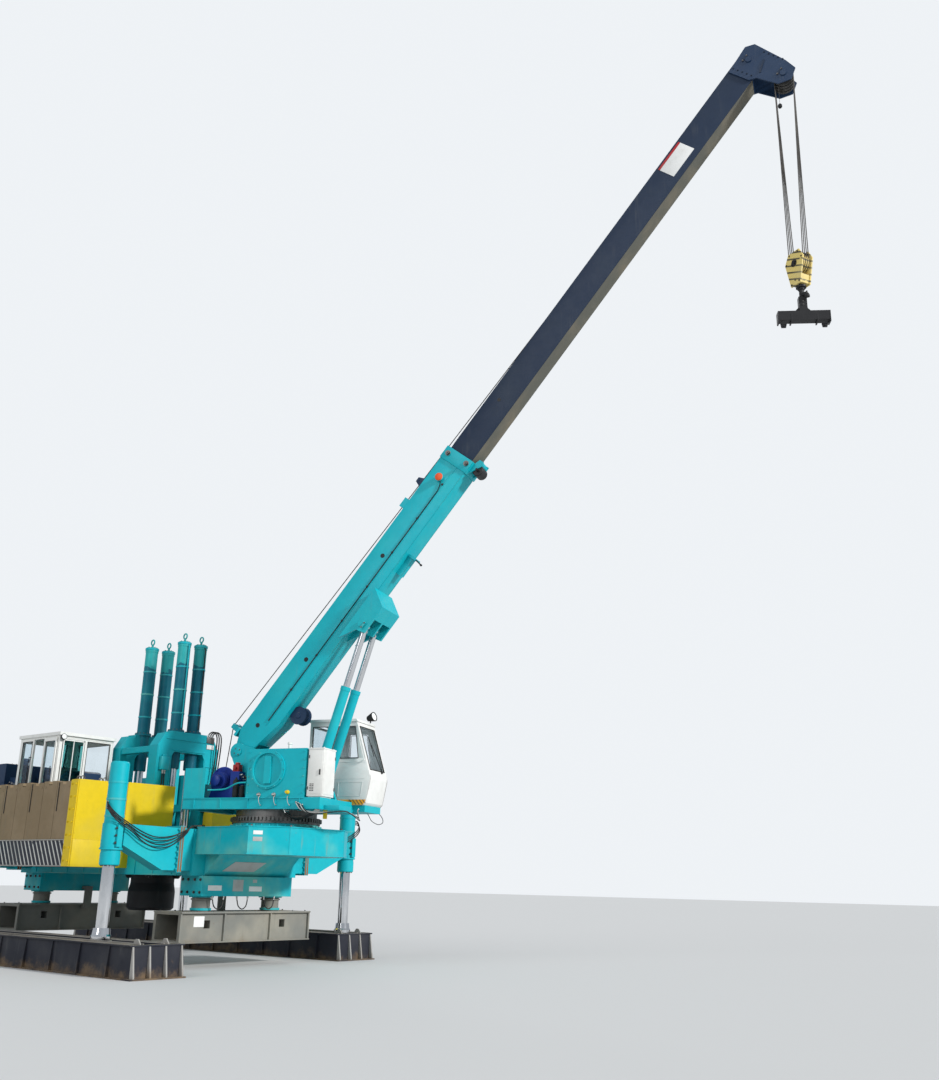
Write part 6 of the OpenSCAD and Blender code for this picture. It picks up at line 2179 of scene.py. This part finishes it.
@dataclass
class OperatorCab:
    """Seals, tinted pane, lamp, roof ribs, door handle and seat of the operator's cab."""

    x0: float = -2.6
    length: float = 1.8
    y0: float = -2.57
    width: float = 1.52
    floor: float = 3.4
    roof: float = 5.25

    def seal(self, fit: Fittings, plane: str, at: float, low: Pair, high: Pair) -> None:
        """A rubber seal around a window in a wall."""
        corners = [(low[0], low[1]), (high[0], low[1]), (high[0], high[1]), (low[0], high[1])]
        fit.pipe("chassis", loop([(at, a, z) if plane == "x" else (a, at, z) for a, z in corners]), 0.011)

    def build(self, fit: Fittings) -> None:
        """Builds and dresses the cab.

        Args:
            fit: what gathers its bolts, slats and pipes.
        """
        x1, y1 = self.x0 + self.length, self.y0 + self.width
        low, high = self.floor + 0.6, self.roof - 0.15
        self.seal(fit, "x", x1, (self.y0 + 0.09, low + 0.05), (self.y0 + 0.7, high))
        self.seal(fit, "x", x1, (self.y0 + 0.78, low + 0.05), (y1 - 0.09, high))
        self.seal(fit, "x", self.x0, (self.y0 + 0.12, low), (y1 - 0.12, high))
        for a, b in ((0.12, 0.56), (1.2, 1.71)):
            self.seal(fit, "y", self.y0, (self.x0 + a, low), (self.x0 + b, high))
        self.seal(fit, "y", y1, (self.x0 + 0.12, low), (x1 - 0.12, high))
        pane = Sketch().block((x1 - 0.012, self.y0 + 0.09, low + 0.05), (x1 - 0.006, self.y0 + 0.7, high), 0.001)
        pane.piece("tinted_pane", "teal_glass", "glass")
        trims = Sketch()
        for a, b, c, d in (
            (0.1, 0.13, low + 0.05, high), (0.66, 0.69, low + 0.05, high), (0.1, 0.69, low + 0.05, low + 0.08),
            (0.1, 0.69, high - 0.03, high), (0.385, 0.405, low + 0.08, high - 0.03),
        ):
            trims.block((x1 - 0.006, self.y0 + a, c), (x1 + 0.012, self.y0 + b, d), 0.003)
        for z in (self.floor + 0.01, self.floor + 0.56, self.roof - 0.11):
            trims.block((x1, self.y0 + 0.02, z), (x1 + 0.008, y1 - 0.02, z + 0.02), 0.002)
            trims.block((self.x0 + 0.02, y1, z), (x1 - 0.02, y1 + 0.008, z + 0.02), 0.002)
        trims.piece("cab_frames", "white_paint", "white")
        fit.slats(
            "cab_roof_ribs", "chassis",
            [(self.x0 + 0.15 + 0.3 * i, (self.y0 + y1) / 2, self.roof + 0.028) for i in range(6)],
            (0.05, self.width - 0.1, 0.018), "white_paint",
        )
        lamp = Matrix.Translation(
            (x1 + 0.02, self.y0 + 0.06, self.roof - 0.11)
        ) @ Matrix.Rotation(math.radians(80), 4, "Y")
        Sketch(place=lamp).turned(
            [(0.03, -0.03), (0.06, 0.0), (0.075, 0.05), (0.075, 0.07), (0.066, 0.07)], (0, 0, 0), UP, 24
        ).piece("roof_lamp", "black_paint")
        Sketch(place=lamp).turned(
            [(0.066, 0.068), (0.05, 0.078), (0, 0.083)], (0, 0, 0), UP, 24
        ).piece("roof_lamp_lens", "lamp_glass")
        handle = Sketch("operator_door").block((-1.02, -2.62, 4.22), (-0.99, -2.608, 4.44))
        handle.piece("sliding_door_handle", "black_paint")
        fit.pipe(
            "chassis", [(-2.02, -2.57, 3.9), (-2.02, -2.62, 3.9), (-2.02, -2.62, 4.7), (-2.02, -2.57, 4.7)], 0.014,
            "black_paint",
        )
        seat("operator_seat", "chassis", Matrix.Translation((-1.75, -1.55, self.floor + 0.05)))
        desk = Sketch().outline(
            [
                (-1.25, self.floor + 0.05), (-0.95, self.floor + 0.05), (-0.95, self.floor + 0.95),
                (-1.05, self.floor + 1.0), (-1.3, self.floor + 0.85),
            ],
            -2.1, -1.2, 0.01,
        )
        desk.piece("operator_desk", "navy_paint", "navy")


@dataclass
class PowerUnit:
    """Doors, grilles, exhaust, gauges and pipes of the power pack and the tank."""

    low: Point = (-2.7, 1.0, 3.06)
    high: Point = (-0.3, 2.5, 4.5)
    tank_low: Point = (-4.4, -2.35, 2.982)
    tank_high: Point = (-3.56, -1.0, 4.65)

    def build(self, fit: Fittings) -> None:
        """Builds and dresses the power pack and the tank.

        Args:
            fit: what gathers its bolts, slats and pipes.
        """
        (x0, y0, z0), (x1, y1, z1) = self.low, self.high
        dark, doors = Sketch(), Sketch()
        for i in range(4):
            x = x0 + 0.11 + 0.56 * i
            doors.block((x, y1, z0 + 0.06), (x + 0.5, y1 + 0.006, z0 + 0.2), 0.002)
            doors.block((x, y1, z1 - 0.16), (x + 0.5, y1 + 0.006, z1 - 0.05), 0.002)
            dark.block((x + 0.42, y1 + 0.006, z0 + 0.1), (x + 0.46, y1 + 0.03, z0 + 0.17))
            doors.block((x1, y0 + 0.1 + 0.35 * i, z0 + 0.1), (x1 + 0.008, y0 + 0.4 + 0.35 * i, z1 - 0.1), 0.003)
        doors.piece("power_doors", "teal_paint", "teal")
        dark.piece("power_handles", "black_paint")
        fit.slats(
            "roof_grille", "chassis", [(x0 + 1.3 + 0.06 * i, 1.75, z1 + 0.018) for i in range(16)], (0.012, 1.0, 0.036),
            "black_paint", (0, 0.35, 0),
        )
        fit.slats(
            "power_louvres", "chassis",
            [(x1 + 0.012, 1.25 + 0.35 * k, z0 + 0.75 + 0.05 * i) for k in range(4) for i in range(9)],
            (0.01, 0.24, 0.022), "teal_paint", (0, 0.6, 0),
        )
        # painted shade: the louvre slats take the darkened teal so the grille reads as shaded
        fit.slats(
            "power_slats", "chassis",
            [(x0 + 0.36 + 0.56 * i, y1 - 0.006, 3.33 + 0.11 * k) for i in range(4) for k in range(9)],
            (0.43, 0.008, 0.05), "teal_in_shade", (-0.5, 0, 0),
        )
        stack = Sketch().turned(
            [
                (0.13, 0), (0.13, 0.02), (0.075, 0.03), (0.075, 0.42), (0.085, 0.42), (0.085, 0.46), (0.06, 0.46),
                (0.06, 0.3), (0, 0.3),
            ],
            (-1.9, 1.75, 4.7), UP, 28,
        )
        stack.turned([(0, 0), (0.09, 0), (0.09, 0.008), (0, 0.012)], (-1.86, 1.75, 5.2), (0.4, 0, 1), 24)
        stack.piece("exhaust", "greasy_steel", "steel")
        fit.bolt("chassis", [((x, y, z1), UP) for x in (x0 + 0.1, x1 - 0.1) for y in (y0 + 0.1, y1 - 0.1)], 0.06)
        (tx0, ty0, _), (tx1, _, tz1) = self.tank_low, self.tank_high
        cover = Sketch().turned([(0.24, 0), (0.24, 0.014), (0.2, 0.022), (0, 0.022)], (-4.0, -1.95, tz1), UP, 36)
        cover.turned(
            [(0.11, 0), (0.11, 0.02), (0.12, 0.03), (0.12, 0.09), (0.09, 0.11), (0, 0.11)], (-4.0, -1.6, 4.76), UP, 28
        )
        cover.block((tx1 - 0.5, ty0 - 0.02, 3.5), (tx1 - 0.38, ty0, 4.3), 0.006)
        for i in range(3):
            cover.block((tx0 + 0.05, ty0 - 0.012, 3.25 + 0.45 * i), (tx1 - 0.05, ty0, 3.28 + 0.45 * i), 0.003)
        cover.piece("tank_covers", "navy_paint", "navy")
        fit.bolt("chassis", ring((-4.0, -1.95, tz1 + 0.014), UP, 0.215, 12), 0.03)
        for i in range(3):
            x = -3.4 + 0.13 * i
            hose(
                f"tank_hose_{i}", "chassis",
                [
                    (x, -2.21, 4.15 - 0.04 * i), (x, -2.29, 4.14 - 0.04 * i), (x + 0.01, -2.42, 3.95),
                    (x + 0.03, -2.46, 3.55), (x + 0.05, -2.4, 3.2), (x + 0.08, -2.28, 3.1), (x + 0.09, -2.21, 3.14),
                ],
                0.034, 4,
            )


@dataclass
class Shoes:
    """Light edges, lugs and plates of the long and short shoes."""

    y: float = LEG_Y
    half: float = 5.7
    wide: float = 0.5875
    high: float = 0.63
    lip: float = 0.05
    toe: float = 0.12

    def flanges(self, place: Matrix, body: str) -> None:
        """The overhanging top flange, the sole's edge and the splayed end ribs of a long shoe.

        Args:
            place: the shoe's frame.
            body: the body that it rides on.
        """
        rims, splay = Sketch(body, place), Sketch(body, place)
        for w in SIDES:
            side, end = w * self.wide, w * self.half
            rims.block(
                (-self.half - 0.015, side, self.high - 0.03),
                (self.half + 0.015, w * (self.wide + self.lip), self.high), 0.003,
            )
            rims.block((-self.half - self.toe, side, 0), (self.half + self.toe, w * (self.wide + 0.06), 0.03), 0.003)
            rims.block((end, -self.wide, self.high - 0.03), (w * (self.half + 0.02), self.wide, self.high), 0.003)
            rims.block((end, -self.wide, 0), (w * (self.half + self.toe), self.wide, 0.03), 0.003)
            foot = [(0, 0.03), (0.115, 0.03), (0.115, 0.06), (0.018, self.high - 0.03), (0, self.high - 0.03)]
            for y in (-1, -0.33, 0.33, 1):
                at = y * (self.wide - 0.02)
                splay.outline([(w * (self.half + x), z) for x, z in foot], at - 0.018, at + 0.018)
        rims.piece(body + "_rims", "shoe_black", "graphite")
        splay.piece(body + "_splayed_ribs", "shoe_edge", "steel")

    def build(self, fit: Fittings) -> None:
        """Builds and dresses the shoes.

        Args:
            fit: what gathers its bolts, slats and pipes.
        """
        for side, shift, body in ((-1, -0.48, "right_shoe"), (1, -1.98, "left_shoe")):
            place = Matrix.Translation((shift, side * self.y, 0))
            lugs = Sketch(body, place)
            for s, w in CORNERS:
                x, y, z = s * (self.half - 0.22), w * 0.33, self.high
                lugs.outline(
                    [(x - 0.12, z), (x + 0.12, z), (x + 0.04, z + 0.1), (x - 0.04, z + 0.1)], y - 0.015, y + 0.015
                )
            lugs.piece(body + "_lugs", "shoe_edge", "steel")
            rails = Sketch(body, place)
            for w in SIDES:
                rails.block((-self.half + 0.13, w * 0.232, self.high), (self.half - 0.13, w * 0.252, self.high + 0.016))
                rails.block(
                    (-self.half, w * (self.wide - 0.03), self.high),
                    (self.half, w * (self.wide - 0.012), self.high + 0.008), 0.003,
                )
            rails.piece(body + "_rails", "shoe_edge", "steel")
            self.flanges(place, body)
        for s, body in ((1, "front_short"), (-1, "rear_short")):
            x = s * 3.695
            Sketch(body).block(
                (x, -1.5, 0.86), (x + s * 0.006, -1.22, 1.08), 0.001
            ).piece(body + "_plate", "blank_plate")
            edges = Sketch(body)
            for w in (-0.5, 0.5):
                edges.block((s * LEG_X + w, -1.895, 1.1705), (s * LEG_X + w * 0.97, 1.895, 1.176), 0.001)
            edges.piece(body + "_edges", "shoe_edge", "steel")
            fit.bolt(body, [((s * LEG_X + w, y, 1.17), UP) for w in (-0.4, 0.4) for y in (-1.8, -1.4, 1.4, 1.8)], 0.035)


def paint_nodes(names: Iterable[str], finish: str) -> None:
    """Gives CAD nodes a finish.

    Args:
        names: the nodes.
        finish: the finish.
    """
    for name in names:
        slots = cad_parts[name].data.materials
        material = PALETTE.get(finish)
        if len(slots):
            for i in range(len(slots)):
                slots[i] = material
        else:
            slots.append(material)


@dataclass(frozen=True)
class Lamp:
    """A distant lamp: its name, where it stands in degrees, its strength and its width in radians."""

    name: str
    azimuth: float
    height: float
    power: float
    width: float

    def hang(self) -> None:
        """Adds the lamp to the scene."""
        lamp = bpy.data.lights.new(self.name, "SUN")
        lamp.energy = self.power
        lamp.angle = self.width
        obj = bpy.data.objects.new(self.name, lamp)
        a, e = math.radians(self.azimuth), math.radians(self.height)
        toward = Vector((math.sin(a) * math.cos(e), math.cos(a) * math.cos(e), math.sin(e)))
        obj.rotation_mode = "QUATERNION"
        obj.rotation_quaternion = toward.to_track_quat("Z", "Y")
        bpy.context.scene.collection.objects.link(obj)


@dataclass
class Studio:
    """Camera, floor and light."""

    place: Point = (23.937, -17.333, 1.885)
    pitch: float = 17.614
    roll: float = -1.166
    yaw: float = 51.174
    focal: float = 1081.27
    long_side: float = 1080.0
    sensor: float = 36.0
    far: float = 400.0
    floor_half: float = 160.0
    floor_colour: Point = (0.62, 0.62, 0.61)
    sky: Point = (0.8, 0.86, 0.93)
    sky_strength: float = 0.55
    seen_sky: Point = (0.86, 0.89, 0.92)
    lamps: tuple[Lamp, ...] = (
        Lamp("key", 82, 24, 3.0, 0.1),
        Lamp("fill", 172, 25, 0.85, 0.6),
        Lamp("back", 320, 35, 0.4, 0.6),
    )

    def camera(self) -> None:
        """Makes the camera that matches the photograph."""
        yaw, pitch, roll = (math.radians(a) for a in (self.yaw, self.pitch, self.roll))
        level = Vector((-math.cos(yaw), math.sin(yaw), 0))
        up = Vector(UP)
        right = level.cross(up)
        ahead = level * math.cos(pitch) + up * math.sin(pitch)
        upward = right.cross(ahead)
        c, s = math.cos(roll), math.sin(roll)
        x, y = right * c - upward * s, upward * c + right * s
        data = bpy.data.cameras.new("camera")
        data.sensor_width = self.sensor
        data.lens = self.focal * self.sensor / self.long_side
        data.clip_end = self.far
        cam = bpy.data.objects.new("camera", data)
        cam.matrix_world = Matrix.Translation(self.place) @ Matrix((x, y, -ahead)).transposed().to_4x4()
        bpy.context.scene.collection.objects.link(cam)
        bpy.context.scene.camera = cam

    def floor(self) -> None:
        """Lays the pale floor."""
        mesh = bpy.data.meshes.new("floor")
        size = self.floor_half
        mesh.from_pydata([(-size, -size, 0), (size, -size, 0), (size, size, 0), (-size, size, 0)], [], [(0, 1, 2, 3)])
        obj = bpy.data.objects.new("floor", mesh)
        bpy.context.scene.collection.objects.link(obj)
        mesh.materials.append(Nodes("pale_floor").surface(self.floor_colour, 0.9))

    def light(self) -> None:
        """Sets the sky and the soft lamps."""
        world = bpy.data.worlds.new("studio")
        bpy.context.scene.world = world
        world.use_nodes = True
        tree = world.node_tree
        back = tree.nodes["Background"]
        back.inputs["Color"].default_value = solid(self.sky)
        back.inputs["Strength"].default_value = self.sky_strength
        seen = wired(tree, "ShaderNodeBackground", {"Color": solid(self.seen_sky), "Strength": 1.0})
        path = tree.nodes.new("ShaderNodeLightPath").outputs
        rays = {0: path["Is Camera Ray"], 1: path["Is Transmission Ray"]}
        through = wired(tree, "ShaderNodeMath", rays, operation="MAXIMUM")
        mix = wired(tree, "ShaderNodeMixShader", {0: through.outputs[0], 1: back.outputs[0], 2: seen.outputs[0]})
        tree.links.new(mix.outputs[0], tree.nodes["World Output"].inputs[0])
        for lamp in self.lamps:
            lamp.hang()

    def build(self) -> None:
        """Makes the camera, floor and light."""
        self.camera()
        self.floor()
        self.light()
        bpy.context.scene.view_settings.view_transform = "Standard"


NODE_FINISHES = {
    "teal_paint": (
        "platform", "front_arms", "rear_arms", "front_leg_barrels", "rear_leg_barrels", "press_frame", "power_pack",
        "crane_deck", "boom_base", "boom_fittings", "luff_barrels",
    ),
    "teal_worn": ("pedestal", "shoe_carriers"),
    "press_barrel_shade": ("press_barrels",),
    "rack_paint": ("rack_right", "rack_left"),
    "navy_paint": ("fluid_tank", "boom_head"),
    "boom_graphite": ("boom_inner",),
    "blue_paint": ("winch",),
    "slab_steel": ("slabs_right", "slabs_left"),
    "yellow_paint": ("yellow_weights",),
    "block_paint": ("hook_block",),
    "white_paint": ("operator_cab", "operator_cab_door", "cabinets", "crane_cab", "crane_cab_door"),
    "clear_glass": ("operator_glass", "crane_cab_glass"),
    "chrome_rod": ("right_jacks", "left_jacks", "press_rods", "luff_rods"),
    "shoe_black": ("right_long_shoe", "left_long_shoe"),
    "shoe_grey": ("front_short_shoe", "rear_short_shoe"),
    "black_paint": ("clamp_head", "work_lamp", "hook"),
    "wire_rope": ("rope_falls",),
    "greasy_steel": ("slewing_ring", "head_sheaves"),
}


def dress_nodes() -> None:
    """Gives every CAD node its finish."""
    for finish, names in NODE_FINISHES.items():
        paint_nodes(names, finish)


def main() -> None:
    """Builds everything."""
    logging.basicConfig(level=logging.INFO, format="%(message)s")
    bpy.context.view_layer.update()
    Studio().build()
    dress_nodes()
    fit = Fittings()
    for part in (
        Boom(), HookBlock(), CraneDeck(), CraneCab(), Legs(), Platform(), Press(), Ballast(), OperatorCab(),
        PowerUnit(), Shoes(),
    ):
        LOG.info("dressing with %s", type(part).__name__)
        part.build(fit)
    fit.build()


if __name__ == "__main__":
    main()
